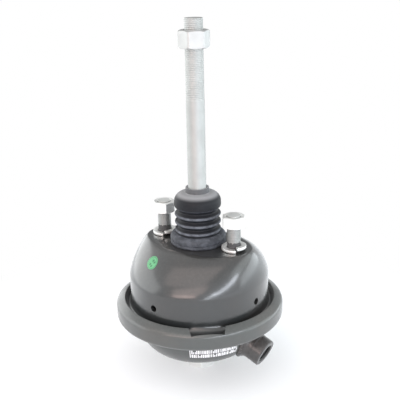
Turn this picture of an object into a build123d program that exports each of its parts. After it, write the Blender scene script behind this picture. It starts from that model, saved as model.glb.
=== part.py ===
from build123d import *

import os
from math import atan2, cos, degrees, radians, sin

# Air brake chamber: a single-diaphragm service chamber with a long push rod.
#
# All lengths are millimetres. The origin is the centre of the stud mounting face, on the push
# rod's axis. +Z runs along the rod, away from the chamber, and X runs through both studs, with
# the side inlet port towards +X.

# ---------------------------------------------------------------- driving dimensions
# Stud pattern, which the bracket on the axle fixes
stud_pitch = 76.2
stud_radius = 6.0  # M12
stud_edge_distance = 14.9  # from a stud to the end of the flat face
washer_outer_radius = 10.8
boot_washer_gap = 2.3
boot_foot_radius = stud_pitch / 2 - washer_outer_radius - boot_washer_gap
boot_seat_width = 8.5  # how far the boot's foot reaches beyond the rod hole
rod_hole_radius = boot_foot_radius - boot_seat_width

# Non-pressure housing: an oval crown that blends into a round wall
housing_wall = 3.2  # sheet thickness
wall_radius = 63.0  # outside of the round wall
crown_half_length = stud_pitch / 2 + stud_edge_distance  # flat face, along the stud line
crown_half_width = 30.0  # flat face, across the stud line
crown_drop = 29.0  # height over which the oval crown becomes the round wall
crown_fullness = 1.39  # exponent of the crown's shoulder: 1 is an ellipse quarter
crown_sections = 8  # loft sections between the face and the wall
vent_hole_radius = 3.0
vent_count = 4
vent_turn = -3.0  # first vent about Z, from +X
vent_height = -42.0

# Rim: two flanges and the diaphragm's bead, held by one crimped ring
seam_height = -61.5  # middle of the rim
ring_lip_gap = 5.5  # between the housing wall and the edge of a lip
ring_lip_width = 7.8  # from the edge of a lip to the outside of the band
ring_lip_radius = wall_radius + ring_lip_gap
ring_radius = ring_lip_radius + ring_lip_width
ring_band_height = 13.0  # between the ring's two outer corners
ring_lip_rise = 4.0  # how far each lip's edge stands beyond its corner
ring_wall = 3.0
ring_corner = 4.2  # outer bend radius
ring_notch_width = 31.0  # at the lip's edge
ring_notch_taper = 1.6  # how much narrower each side is at the notch's outer edge
ring_notch_bite = 1.1  # how far the notch cuts into the band's inside
ring_notch_angle = -49.2  # about Z, from +X
flange_gap = 2.8  # channel between the housing wall and the flange's crest
flange_crest_width = 1.6
flange_edge_gap = 0.6
flange_bend = 1.8
flange_crest_bend = 0.8
flange_edge_bend = 0.5

# Pressure housing: the dish that holds the air
dish_wall = 3.0
dish_step = 6.0  # how far the dish is smaller than the housing wall, in radius
dish_radius = wall_radius - dish_step
dish_depth = 40.5  # from the middle of the rim to the outside of the bottom
dish_corner = 25.0

# Ports
port_radius = 12.6
port_foot_radius = 15.9
port_foot_height = 4.0
port_spigot_radius = 9.6
port_bore_radius = 7.2  # M16x1.5, drawn at its minor diameter
port_thread_depth = 13.0
port_passage_radius = 4.5
port_chamfer = 1.0
port_mouth_chamfer = 1.3
inlet_stand_off = 13.6  # centre of the inlet's face beyond the dish's side
inlet_face_rise = 9.2  # centre of the inlet's face above the dish's bottom
inlet_tilt = 22.5  # degrees below level
inlet_depth = 20.0  # from the inlet's face to the inner end of its spigot
rear_port_height = 13.5
plug_across_flats = 22.0
plug_head_height = 8.0
plug_shank_length = 11.0
plug_turn = 6.0
seal_radius = 11.2
seal_thickness = 1.5

# Mounting studs, their nuts and spring washers: M12
stud_projection = 32.0
stud_tip_chamfer = 1.2
stud_head_radius = 8.5
stud_head_height = 3.5
stud_head_chamfer = 0.6
stud_nut_across_flats = 19.0
stud_nut_height = 10.0
stud_nut_inset = 0.6  # stud tip beyond the nut
left_nut_turn = 16.5
right_nut_turn = 3.0
washer_inner_radius = 6.3
washer_thickness = 2.5
washer_spring_rise = 2.3  # lift of the split end
washer_cut = 8.0  # degrees taken out at the split
left_washer_split = -62.0  # about Z, from +X
right_washer_split = -49.0
stud_plate_thickness = 4.0
stud_plate_margin = 4.0  # between the plate's end and the end of the flat face
stud_plate_half_length = crown_half_length - stud_plate_margin
stud_plate_half_width = 24.0

# Hexagons on every nut and on the plug
hexagon_face_inset = 0.2  # how far the turned face's edge lies inside the flats
hexagon_corner_cut = 0.9  # height taken off at each corner
nut_countersink = 0.8

# Push rod and plate
rod_radius = 8.0
rod_thread_radius = 7.9  # M16x1.5
rod_thread_length = 68.0
rod_tip_height = 195.5
rod_tip_chamfer = 1.2
rod_flange_radius = 12.5
rod_flange_height = 4.0
rod_nut_across_flats = 24.0
rod_nut_height = 14.8
rod_nut_inset = 9.5  # rod tip beyond the nut
rod_nut_turn = 45.7
plate_margin = 15.0  # between the plate and the wall of the dish
plate_radius = dish_radius - dish_wall - plate_margin
plate_thickness = 3.0
plate_edge_height = 8.0
plate_edge_bend = 5.0

# Diaphragm and return spring
diaphragm_thickness = 3.0
diaphragm_bead_width = 3.8
diaphragm_bead_slope = 1.05  # length of the bead's slope on each side
spring_wire_radius = 2.0
spring_top_radius = 24.0
spring_plate_margin = 6.0  # between the spring's last coil and the plate's edge
spring_bottom_radius = plate_radius - spring_plate_margin
spring_turns = 5.5

# Dust boot: a foot bead, even folds, a full shoulder and a collar on the rod
boot_wall = 1.5
boot_height = 51.0
boot_collar_height = 5.2
boot_shoulder_height = boot_height - boot_collar_height
boot_shoulder_rise = 11.76  # from the last groove to the shoulder
boot_foot_height = 9.2
boot_foot_step = 3.6  # how far the folds' crests lie inside the foot
boot_folds = 3
boot_first_fold = 0.45  # height of the first crest above the foot, in fold pitches
boot_fold_height = boot_shoulder_height - boot_shoulder_rise - boot_foot_height
boot_fold_pitch = boot_fold_height / (boot_folds + boot_first_fold)
boot_fold_depth = 4.6
boot_crest_radius = boot_foot_radius - boot_foot_step
boot_groove_radius = boot_crest_radius - boot_fold_depth
boot_fold_roundness = 0.264  # bend radius in fold pitches
boot_fold_bend = boot_fold_roundness * boot_fold_pitch
boot_shoulder_step = 0.6
boot_shoulder_radius = boot_crest_radius - boot_shoulder_step
boot_collar_wall = 2.5
boot_collar_radius = rod_radius + boot_collar_wall
boot_collar_drop = 0.8  # rise of the shoulder towards the collar
boot_collar_bend = 0.8
boot_shoulder_roundness = 0.777  # bend radius over the shoulder's width
boot_shoulder_bend = boot_shoulder_roundness * (boot_shoulder_radius - boot_collar_radius)
boot_neck_bend = 2.5  # between the last fold and the shoulder
boot_foot_bend = 4.5
boot_first_groove_rise = 0.6
boot_first_groove_bend = 0.6
boot_first_groove_out = 1.0
retainer_flange_step = 5.0  # how far the retainer's flange lies inside the boot's foot
retainer_flange_radius = boot_foot_radius - retainer_flange_step
retainer_thickness = 1.5
retainer_hole_gap = 0.3  # between the retainer's tube and the housing's rod hole
retainer_tube_radius = rod_hole_radius - retainer_hole_gap
retainer_bend = 1.7

# Clearances
clear = 0.05  # between pieces that are screwed or pressed together
rest_gap = 0.3  # between pieces that rest on each other across the moving joint
stud_clear = 0.3  # around a stud in its holes
seat_gap = 0.5  # between the resting diaphragm and the dish


# ---------------------------------------------------------------- shared forms
def hexagon(across_flats, height):
    """Return a hexagon prism standing on Z = 0, its corners turned down at both ends."""
    corner_radius = across_flats / 2 / cos(radians(30))
    face_radius = across_flats / 2 - hexagon_face_inset
    with BuildPart() as prism:
        with BuildSketch():
            RegularPolygon(radius=corner_radius, side_count=6)
        extrude(amount=height)
        with BuildSketch(Plane.XZ):
            Polygon(
                (0, 0),
                (face_radius, 0),
                (corner_radius, hexagon_corner_cut),
                (corner_radius, height - hexagon_corner_cut),
                (face_radius, height),
                (0, height),
                align=None,
            )
        revolve(axis=Axis.Z, mode=Mode.INTERSECT)
    return prism.part


def hexagon_nut(across_flats, height, bore_radius):
    """Return a hexagon nut standing on Z = 0, its bore countersunk at both ends."""
    with BuildPart() as nut:
        add(hexagon(across_flats, height))
        Hole(radius=bore_radius)
        bore_rims = nut.edges().filter_by(GeomType.CIRCLE).group_by(SortBy.RADIUS)[0]
        chamfer(bore_rims, nut_countersink)
    return nut.part


def crown_section(step, inset):
    """Return one oval section of the crown as (half length, half width, height)."""
    turn = radians(90 * step / (crown_sections - 1))
    out = sin(turn) ** crown_fullness
    down = 1 - cos(turn) ** crown_fullness if step < crown_sections - 1 else 1.0
    outer = wall_radius - inset
    half_length = crown_half_length - inset + (outer - crown_half_length + inset) * out
    half_width = crown_half_width - inset + (outer - crown_half_width + inset) * out
    return half_length, half_width, -inset - (crown_drop - inset) * down


def crown(inset):
    """Return the solid under the crown's surface, or under its inside for an inset."""
    with BuildPart() as form:
        for step in range(crown_sections):
            half_length, half_width, height = crown_section(step, inset)
            with BuildSketch(Plane.XY.offset(height)):
                Ellipse(half_length, half_width)
        loft()
    return form.part


# ---------------------------------------------------------------- rim heights
lip_slope = ring_lip_rise / (ring_radius - ring_lip_radius)
lip_drop = ring_wall * (1 + lip_slope**2) ** 0.5  # ring wall measured along Z on a lip
ring_corner_rise = ring_band_height / 2
flange_crest_radius = wall_radius + flange_gap + flange_crest_width
flange_edge_radius = ring_radius - ring_wall - flange_edge_gap


def flange_rise(radius):
    """Return how far a flange's face under a ring lip stands from the seam at a radius."""
    return ring_corner_rise + (ring_radius - radius) * lip_slope - lip_drop - clear


flange_crest_rise = flange_rise(flange_crest_radius)
flange_edge_rise = flange_rise(flange_edge_radius)
flange_floor_radius = flange_crest_radius - flange_crest_width
housing_floor = seam_height + diaphragm_thickness / 2 + housing_wall
dish_floor = seam_height - diaphragm_thickness / 2 - dish_wall
dish_bottom = seam_height - dish_depth
diaphragm_floor = dish_bottom + dish_wall + seat_gap
plate_bottom = diaphragm_floor + diaphragm_thickness + rest_gap
plate_top = plate_bottom + plate_thickness
stud_plate_bottom = -housing_wall - stud_plate_thickness
rod_nut_bottom = rod_tip_height - rod_nut_inset - rod_nut_height

# ---------------------------------------------------------------- non-pressure housing
with BuildPart() as non_pressure_housing:
    add(crown(0))
    add(crown(housing_wall), mode=Mode.SUBTRACT)
    with BuildSketch(Plane.XZ):
        with BuildLine():
            FilletPolyline(
                (wall_radius, -crown_drop),
                (wall_radius, housing_floor),
                (flange_floor_radius, housing_floor),
                (flange_crest_radius, seam_height + flange_crest_rise),
                (flange_edge_radius, seam_height + flange_edge_rise),
                radius=[flange_bend, flange_crest_bend, flange_edge_bend],
            )
            offset(amount=housing_wall, side=Side.RIGHT)
        make_face()
    revolve(axis=Axis.Z)
    Hole(radius=rod_hole_radius)
    with Locations((-stud_pitch / 2, 0), (stud_pitch / 2, 0)):
        Hole(radius=stud_radius + stud_clear)
    with Locations(Location((0, 0, vent_height))):
        with PolarLocations(wall_radius, vent_count, start_angle=vent_turn):
            Cylinder(vent_hole_radius, 4 * housing_wall, rotation=(0, 90, 0), mode=Mode.SUBTRACT)

# ---------------------------------------------------------------- pressure housing
def dish_form(inset):
    """Return the whole solid that the dish's surface encloses, or its inside for an inset."""
    with BuildPart() as form:
        with BuildSketch(Plane.XZ):
            with BuildLine():
                FilletPolyline(
                    (flange_crest_radius, dish_floor + inset),
                    (dish_radius - inset, dish_floor + inset),
                    (dish_radius - inset, dish_bottom + inset),
                    (0, dish_bottom + inset),
                    radius=[flange_bend + inset, dish_corner - inset],
                )
                Polyline(
                    (0, dish_bottom + inset),
                    (0, seam_height),
                    (flange_crest_radius, seam_height),
                    (flange_crest_radius, dish_floor + inset),
                )
            make_face()
        revolve(axis=Axis.Z)
    return form.part


inlet_reach = dish_radius + inlet_stand_off
inlet_face = Plane(
    origin=(inlet_reach, 0, dish_bottom + inlet_face_rise),
    x_dir=(0, 1, 0),
    z_dir=(cos(radians(inlet_tilt)), 0, -sin(radians(inlet_tilt))),
)
rear_port_face = Plane(
    origin=(0, 0, dish_bottom - rear_port_height), x_dir=(1, 0, 0), z_dir=(0, 0, -1)
)
inlet_depth_to_wall = (inlet_reach - dish_radius) / cos(radians(inlet_tilt))
inlet_foot_reach = inlet_depth_to_wall + port_foot_height

with BuildPart() as pressure_housing:
    with BuildSketch(Plane.XZ):
        with BuildLine():
            FilletPolyline(
                (flange_edge_radius, seam_height - flange_edge_rise),
                (flange_crest_radius, seam_height - flange_crest_rise),
                (flange_floor_radius, dish_floor),
                (dish_radius, dish_floor),
                (dish_radius, dish_bottom),
                (0, dish_bottom),
                radius=[flange_edge_bend, flange_crest_bend, flange_bend, dish_corner],
            )
            offset(amount=dish_wall, side=Side.RIGHT)
        make_face()
    revolve(axis=Axis.Z)
    with BuildSketch(inlet_face):
        Circle(port_spigot_radius + clear)
    extrude(amount=-inlet_depth - port_spigot_radius, mode=Mode.SUBTRACT)
    with BuildSketch(rear_port_face):
        Circle(port_spigot_radius + clear)
    extrude(amount=-rear_port_height - 2 * dish_wall, mode=Mode.SUBTRACT)


def port(face, reach, depth):
    """Return a welded port boss whose body runs back from its face by reach, to the dish.

    Its foot flares where it meets the dish, and a thinner spigot passes through the wall.
    The threaded bore stops inside the boss, and a narrow passage goes on to the inner end.
    """
    back = Axis(face.origin, face.z_dir)
    with BuildPart() as boss:
        with BuildSketch(face):
            Circle(port_radius)
        extrude(amount=-reach)
        with BuildSketch(face.offset(port_foot_height - reach)):
            Circle(port_foot_radius)
        extrude(amount=-2 * port_foot_height)
        chamfer(boss.faces().sort_by(back)[-1].edges(), port_chamfer)
        foot_rim = boss.edges().filter_by(GeomType.CIRCLE).group_by(SortBy.RADIUS)[-1]
        chamfer(foot_rim.sort_by(back)[-1], port_foot_height / 2)
        add(dish_form(0), mode=Mode.SUBTRACT)
        with BuildSketch(face.offset(port_foot_height - reach)):
            Circle(port_spigot_radius)
        extrude(amount=-depth)
        add(dish_form(dish_wall), mode=Mode.SUBTRACT)
        with BuildSketch(face):
            Circle(port_bore_radius)
        extrude(amount=-port_thread_depth, mode=Mode.SUBTRACT)
        with BuildSketch(face):
            Circle(port_passage_radius)
        extrude(amount=-depth - port_spigot_radius, mode=Mode.SUBTRACT)
        mouth = boss.faces().sort_by(back)[-1].edges().sort_by(SortBy.RADIUS)[0]
        chamfer(mouth, port_mouth_chamfer)
    return boss.part


with BuildPart() as inlet_port:
    add(port(inlet_face, inlet_foot_reach, inlet_depth))

with BuildPart() as rear_port:
    add(port(rear_port_face, rear_port_height, rear_port_height + dish_wall))

with BuildPart() as port_seal:
    with BuildSketch(rear_port_face):
        Circle(seal_radius)
        Circle(port_bore_radius + clear, mode=Mode.SUBTRACT)
    extrude(amount=seal_thickness)

plug_face = rear_port_face.offset(seal_thickness)
with BuildPart() as port_plug:
    add(plug_face.rotated((0, 0, plug_turn)) * hexagon(plug_across_flats, plug_head_height))
    with BuildSketch(plug_face):
        Circle(port_bore_radius - clear)
    extrude(amount=-plug_shank_length)

# ---------------------------------------------------------------- lock ring
with BuildPart() as lock_ring:
    with BuildSketch(Plane.XZ):
        with BuildLine():
            FilletPolyline(
                (ring_lip_radius, seam_height + ring_corner_rise + ring_lip_rise),
                (ring_radius, seam_height + ring_corner_rise),
                (ring_radius, seam_height - ring_corner_rise),
                (ring_lip_radius, seam_height - ring_corner_rise - ring_lip_rise),
                radius=ring_corner,
            )
            offset(amount=ring_wall, side=Side.RIGHT)
        make_face()
    revolve(axis=Axis.Z)
    notch_floor = Plane.XY.offset(seam_height + ring_corner_rise - ring_wall)
    notch_inner = ring_lip_radius - ring_wall
    notch_outer = ring_radius - ring_wall + ring_notch_bite
    notch_side = ring_notch_width / 2
    with BuildSketch(notch_floor.rotated((0, 0, ring_notch_angle))):
        Polygon(
            (notch_inner, -notch_side),
            (ring_lip_radius, -notch_side),
            (notch_outer, ring_notch_taper - notch_side),
            (notch_outer, notch_side - ring_notch_taper),
            (ring_lip_radius, notch_side),
            (notch_inner, notch_side),
            align=None,
        )
    extrude(amount=3 * ring_lip_rise, mode=Mode.SUBTRACT)

# ---------------------------------------------------------------- studs and their fasteners
with BuildPart() as stud_plate:
    with BuildSketch(Plane.XY.offset(stud_plate_bottom)):
        Ellipse(stud_plate_half_length, stud_plate_half_width)
        Circle(rod_hole_radius, mode=Mode.SUBTRACT)
        with Locations((-stud_pitch / 2, 0), (stud_pitch / 2, 0)):
            Circle(stud_radius + stud_clear, mode=Mode.SUBTRACT)
    extrude(amount=stud_plate_thickness)


def mounting_stud(x):
    """Return one stud: a head under the stud plate and a thread through both plates."""
    with BuildPart() as stud:
        with BuildSketch(Plane((x, 0, stud_plate_bottom - stud_head_height))):
            Circle(stud_head_radius)
        extrude(amount=stud_head_height)
        with BuildSketch(Plane((x, 0, stud_plate_bottom))):
            Circle(stud_radius)
        extrude(amount=stud_projection - stud_plate_bottom)
        chamfer(stud.faces().sort_by(Axis.Z)[-1].edges(), stud_tip_chamfer)
        chamfer(stud.faces().sort_by(Axis.Z)[0].edges(), stud_head_chamfer)
    return stud.part


def spring_washer(x, split_angle):
    """Return one split washer lying on the mounting face, its cut end sprung up."""
    middle_radius = (washer_inner_radius + washer_outer_radius) / 2
    pitch = washer_spring_rise * 360 / (360 - washer_cut)
    seat = Plane((x, 0, washer_thickness / 2 + 3 * clear)).rotated((0, 0, split_angle))
    with BuildPart() as washer:
        with BuildLine(seat) as coil:
            Helix(pitch, washer_spring_rise, middle_radius, lefthand=True)
        with BuildSketch(Plane(coil.line @ 0, x_dir=seat.x_dir, z_dir=coil.line % 0)):
            Rectangle(washer_outer_radius - washer_inner_radius, washer_thickness)
        sweep(path=coil.line, is_frenet=True)
    return washer.part


def stud_nut(x, turn):
    """Return the nut at one stud's tip, turned about the stud by a few degrees."""
    bottom = stud_projection - stud_nut_inset - stud_nut_height
    nut = hexagon_nut(stud_nut_across_flats, stud_nut_height, stud_radius + clear)
    return Location((x, 0, bottom), (0, 0, turn)) * nut


left_mounting_stud = mounting_stud(-stud_pitch / 2)
right_mounting_stud = mounting_stud(stud_pitch / 2)
left_spring_washer = spring_washer(-stud_pitch / 2, left_washer_split)
right_spring_washer = spring_washer(stud_pitch / 2, right_washer_split)
left_stud_nut = stud_nut(-stud_pitch / 2, left_nut_turn)
right_stud_nut = stud_nut(stud_pitch / 2, right_nut_turn)

# ---------------------------------------------------------------- push rod and plate
with BuildPart() as push_rod:
    with BuildSketch(Plane.XY.offset(plate_bottom)):
        Circle(rod_radius)
    extrude(amount=rod_tip_height - rod_thread_length - plate_bottom)
    with BuildSketch(Plane.XY.offset(rod_tip_height - rod_thread_length)):
        Circle(rod_thread_radius)
    extrude(amount=rod_thread_length)
    with BuildSketch(Plane.XY.offset(plate_top)):
        Circle(rod_flange_radius)
    extrude(amount=rod_flange_height)
    chamfer(push_rod.faces().sort_by(Axis.Z)[-1].edges(), rod_tip_chamfer)

rod_nut_seat = Location((0, 0, rod_nut_bottom), (0, 0, rod_nut_turn))
rod_nut = rod_nut_seat * hexagon_nut(
    rod_nut_across_flats, rod_nut_height, rod_thread_radius + clear
)

with BuildPart() as push_plate:
    with BuildSketch(Plane.XZ):
        with BuildLine():
            FilletPolyline(
                (plate_radius, plate_bottom + plate_edge_height),
                (plate_radius, plate_bottom),
                (rod_radius + clear, plate_bottom),
                radius=plate_edge_bend,
            )
            offset(amount=plate_thickness, side=Side.RIGHT)
        make_face()
    revolve(axis=Axis.Z)

# ---------------------------------------------------------------- diaphragm
flat = diaphragm_thickness / 2
bead_edge_radius = flange_edge_radius - 2 * flange_edge_gap
bead_crest_radius = bead_edge_radius - diaphragm_bead_slope
with BuildPart() as diaphragm:
    with BuildSketch(Plane.XZ):
        with BuildLine():
            FilletPolyline(
                (bead_edge_radius, seam_height - flat),
                (dish_radius - dish_wall - seat_gap, seam_height - flat),
                (dish_radius - dish_wall - seat_gap, diaphragm_floor),
                (0, diaphragm_floor),
                radius=[flange_bend + dish_wall + seat_gap, dish_corner - dish_wall - seat_gap],
            )
            offset(amount=diaphragm_thickness, side=Side.RIGHT)
        make_face()
        Polygon(
            (bead_crest_radius - diaphragm_bead_slope, seam_height - flat),
            (bead_crest_radius, seam_height - diaphragm_bead_width / 2),
            (bead_edge_radius, seam_height - flat),
            (bead_edge_radius, seam_height + flat),
            (bead_crest_radius, seam_height + diaphragm_bead_width / 2),
            (bead_crest_radius - diaphragm_bead_slope, seam_height + flat),
            align=None,
        )
    revolve(axis=Axis.Z)

# ---------------------------------------------------------------- return spring
spring_foot = plate_top + rest_gap + spring_wire_radius
spring_height = stud_plate_bottom - clear - spring_wire_radius - spring_foot
spring_cone = degrees(atan2(spring_top_radius - spring_bottom_radius, spring_height))
with BuildPart() as return_spring:
    with BuildLine() as coils:
        Helix(
            spring_height / spring_turns,
            spring_height,
            spring_bottom_radius,
            center=(0, 0, spring_foot),
            cone_angle=spring_cone,
        )
    with BuildSketch(Plane(coils.line @ 0, z_dir=coils.line % 0)):
        Circle(spring_wire_radius)
    sweep(path=coils.line)

# ---------------------------------------------------------------- dust boot
with BuildPart() as boot_retainer:
    with BuildSketch(Plane.XZ):
        with BuildLine():
            FilletPolyline(
                (retainer_flange_radius, retainer_thickness),
                (retainer_tube_radius - retainer_thickness, retainer_thickness),
                (
                    retainer_tube_radius - retainer_thickness,
                    stud_plate_bottom - retainer_thickness,
                ),
                (
                    retainer_tube_radius + retainer_thickness,
                    stud_plate_bottom - retainer_thickness,
                ),
                radius=retainer_bend,
            )
            offset(amount=retainer_thickness, side=Side.LEFT)
        make_face()
    revolve(axis=Axis.Z)

fold_points = [
    (boot_groove_radius + boot_first_groove_out, boot_foot_height + boot_first_groove_rise)
]
for fold in range(boot_folds):
    fold_height = boot_foot_height + (fold + boot_first_fold) * boot_fold_pitch
    fold_points.append((boot_crest_radius, fold_height))
    fold_points.append((boot_groove_radius, fold_height + boot_fold_pitch / 2))

fold_bends = [boot_fold_bend] * 2 * boot_folds
foot_seat = retainer_thickness + clear
with BuildPart() as dust_boot:
    with BuildSketch(Plane.XZ):
        with BuildLine():
            FilletPolyline(
                (boot_foot_radius, 0),
                (boot_foot_radius, boot_foot_height),
                *fold_points,
                (boot_shoulder_radius, fold_points[-1][1] + boot_fold_pitch / 2),
                (boot_shoulder_radius, boot_shoulder_height),
                (boot_collar_radius, boot_shoulder_height + boot_collar_drop),
                (boot_collar_radius, boot_height),
                radius=[
                    boot_foot_bend,
                    boot_first_groove_bend,
                    *fold_bends,
                    boot_neck_bend,
                    boot_shoulder_bend,
                    boot_collar_bend,
                ],
            )
            offset(amount=boot_wall, side=Side.LEFT)
        make_face()
        with Locations(((rod_radius + clear + boot_collar_radius) / 2, boot_height)):
            Rectangle(
                boot_collar_radius - rod_radius - clear,
                boot_height - boot_shoulder_height,
                align=(Align.CENTER, Align.MAX),
            )
        with Locations((boot_foot_radius - boot_wall, foot_seat)):
            Rectangle(
                boot_foot_radius - boot_wall - retainer_tube_radius,
                2 * boot_wall,
                align=(Align.MAX, Align.MIN),
            )
        with Locations((boot_foot_radius - boot_wall, 0)):
            Rectangle(
                boot_foot_radius - boot_wall - retainer_flange_radius - clear,
                2 * boot_wall,
                align=(Align.MAX, Align.MIN),
            )
    revolve(axis=Axis.Z)

pieces = {
    "non_pressure_housing": non_pressure_housing.part,
    "pressure_housing": pressure_housing.part,
    "inlet_port": inlet_port.part,
    "rear_port": rear_port.part,
    "port_seal": port_seal.part,
    "port_plug": port_plug.part,
    "lock_ring": lock_ring.part,
    "stud_plate": stud_plate.part,
    "left_mounting_stud": left_mounting_stud,
    "right_mounting_stud": right_mounting_stud,
    "left_spring_washer": left_spring_washer,
    "right_spring_washer": right_spring_washer,
    "left_stud_nut": left_stud_nut,
    "right_stud_nut": right_stud_nut,
    "push_rod": push_rod.part,
    "rod_nut": rod_nut,
    "push_plate": push_plate.part,
    "diaphragm": diaphragm.part,
    "return_spring": return_spring.part,
    "boot_retainer": boot_retainer.part,
    "dust_boot": dust_boot.part,
}
os.makedirs("parts", exist_ok=True)
for name, piece in pieces.items():
    piece.label = name
    export_step(piece, f"parts/{name}.step")
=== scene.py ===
import logging
import math
import random
from collections.abc import Callable, Sequence
from dataclasses import dataclass, field, replace
from enum import Enum

import bmesh
import bpy
from mathutils import Matrix, Vector, noise


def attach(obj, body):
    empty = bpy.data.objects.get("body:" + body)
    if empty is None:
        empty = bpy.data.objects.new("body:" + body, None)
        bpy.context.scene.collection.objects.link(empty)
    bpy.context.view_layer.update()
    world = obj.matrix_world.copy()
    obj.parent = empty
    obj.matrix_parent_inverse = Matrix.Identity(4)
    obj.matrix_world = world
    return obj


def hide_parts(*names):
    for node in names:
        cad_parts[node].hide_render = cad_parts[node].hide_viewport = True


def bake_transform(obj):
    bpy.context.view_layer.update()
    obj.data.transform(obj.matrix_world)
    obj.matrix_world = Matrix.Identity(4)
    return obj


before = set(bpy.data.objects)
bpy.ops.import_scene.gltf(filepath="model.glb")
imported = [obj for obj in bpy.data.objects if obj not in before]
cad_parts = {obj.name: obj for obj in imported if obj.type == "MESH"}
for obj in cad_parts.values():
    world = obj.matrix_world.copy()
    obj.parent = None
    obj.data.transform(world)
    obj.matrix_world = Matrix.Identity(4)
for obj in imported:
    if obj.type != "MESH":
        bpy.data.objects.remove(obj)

# An air brake chamber, dressed for looking at. Lengths are metres in the model's own frame: the
# origin is the centre of the stud mounting face, +Z runs along the push rod, X through the studs.

log = logging.getLogger("air_brake_chamber")

MM = 0.001
REST_HEIGHT = "rest_height"
SQUARE_EDGE = 50.0
Pair = tuple[float, float]
Colour = tuple[float, float, float]
Oval = tuple[float, float, float]
Ring = list[Vector]
Mesh = bpy.types.Mesh
Node = bpy.types.Node
Socket = bpy.types.NodeSocket
Values = dict[str | int, object]


class Body(Enum):
    """The rigid bodies that pieces ride on."""

    HOUSING = "housing"
    ROD = "push_rod"


class Slot(Enum):
    """The record's material slots."""

    BLACK = "painted_black"
    GREY = "painted_grey"
    ZINC = "zinc"
    ZINC_DULL = "zinc_dull"
    STEEL = "steel"
    RUBBER = "rubber"
    FABRIC_RUBBER = "fabric_rubber"
    COPPER = "copper"
    LABEL = "label_green"
    MARKING = "marking_white"


# --- outlines
def clamped(share: float) -> float:
    """Return a number held between 0 and 1."""
    return min(max(share, 0.0), 1.0)


def eased(share: float) -> float:
    """Return a soft step from 0 to 1."""
    share = clamped(share)
    return share * share * (3 - 2 * share)


def turns_of(count: int) -> list[float]:
    """Return evenly spaced angles round one full turn, in radians."""
    return [2 * math.pi * step / count for step in range(count)]


def polar(angle: float, radius: float, height: float = 0.0) -> Vector:
    """Return the point at an angle about Z, a radius and a height."""
    return Vector((radius * math.cos(angle), radius * math.sin(angle), height))


def points_from(radius: float, height: float, *steps: Pair) -> list[Pair]:
    """Return the points these steps, in millimetres, away from a radius and a height."""
    return [(radius + out * MM, height + up * MM) for out, up in steps]


def in_mm(*points: Pair) -> tuple[Pair, ...]:
    """Return points that are given in millimetres."""
    return tuple(points_from(0.0, 0.0, *points))


def rounded_path(corners: Sequence[Pair], radii: Sequence[float], steps: int = 8) -> list[Pair]:
    """Return a path of (radius, height) points with each inner corner turned into an arc.

    Args:
        corners: The path's ends and corners, in order.
        radii: One bend radius for each inner corner.
        steps: Straight pieces in each arc.

    Returns:
        The path's points, in order.
    """
    path = [Vector(corners[0])]
    for before, at, after, radius in zip(corners, corners[1:], corners[2:], radii):
        corner = Vector(at)
        back = (Vector(before) - corner).normalized()
        on = (Vector(after) - corner).normalized()
        half = back.angle(on) / 2
        centre = corner + (back + on).normalized() * radius / math.sin(half)
        first = corner + back * radius / math.tan(half) - centre
        last = corner + on * radius / math.tan(half) - centre
        start = math.atan2(first.y, first.x)
        turn = (math.atan2(last.y, last.x) - start + math.pi) % (2 * math.pi) - math.pi
        for step in range(steps + 1):
            angle = start + turn * step / steps
            path.append(centre + radius * Vector((math.cos(angle), math.sin(angle))))
    path.append(Vector(corners[-1]))
    return [(point.x, point.y) for point in path]


def beside(path: Sequence[Pair], distance: float) -> list[Pair]:
    """Return the path moved sideways by distance, to the right of the way it runs."""
    least_slant = 0.3
    points = [Vector(point) for point in path]
    moved = []
    for index, point in enumerate(points):
        before = (point - points[index - 1]).normalized() if index else None
        after = (points[index + 1] - point).normalized() if index + 1 < len(points) else None
        along = ((before or after) + (after or before)).normalized()
        slant = max(along.dot(after or before), least_slant)
        moved.append(point + Vector((along.y, -along.x)) * distance / slant)
    return [(point.x, point.y) for point in moved]


def softened(
    loop: Sequence[Pair], radius: float, sharp: float = SQUARE_EDGE, steps: int = 3
) -> list[Pair]:
    """Return a closed outline with its sharp corners rounded.

    Args:
        loop: The outline's points, with no repeat of the first.
        radius: The rounding's radius.
        sharp: Corners that turn by more than this many degrees are rounded.
        steps: Straight pieces in each rounding.

    Returns:
        The rounded outline.
    """
    longest_share = 0.48
    shrink = 0.999
    out: list[Pair] = []
    for index, at in enumerate(loop):
        corner = Vector(at)
        back = Vector(loop[index - 1]) - corner
        on = Vector(loop[(index + 1) % len(loop)]) - corner
        if min(back.length, on.length) < 1e-9:
            continue
        inside = back.angle(on)
        if math.pi - inside < math.radians(sharp):
            out.append(at)
            continue
        longest = (longest_share * back.length, longest_share * on.length)
        reach = min(radius / math.tan(inside / 2), *longest)
        bend = reach * math.tan(inside / 2) * shrink
        ends = [tuple(corner + way.normalized() * reach) for way in (back, on)]
        out += rounded_path([ends[0], at, ends[1]], [bend], steps)[1:-1]
    return out


def bent_sheet(
    corners: Sequence[Pair], radii: Sequence[float], wall: float, steps: int = 8
) -> tuple[list[Pair], list[Pair]]:
    """Return both sides of a sheet that is bent along a row of corners.

    Args:
        corners: The left-hand side's ends and corners, in order.
        radii: One bend radius on that side for each inner corner.
        wall: The sheet's thickness, to the right.
        steps: Straight pieces in each bend.

    Returns:
        The left-hand path and the right-hand path, in the same direction.
    """
    tightest = 0.3 * MM
    far_radii = []
    for before, at, after, near in zip(corners, corners[1:], corners[2:], radii):
        turns_left = (Vector(at) - Vector(before)).cross(Vector(after) - Vector(at)) > 0
        far_radii.append(near + wall if turns_left else max(near - wall, tightest))
    far = rounded_path(beside(corners, wall), far_radii, steps)
    return rounded_path(corners, radii, steps), far


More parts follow.
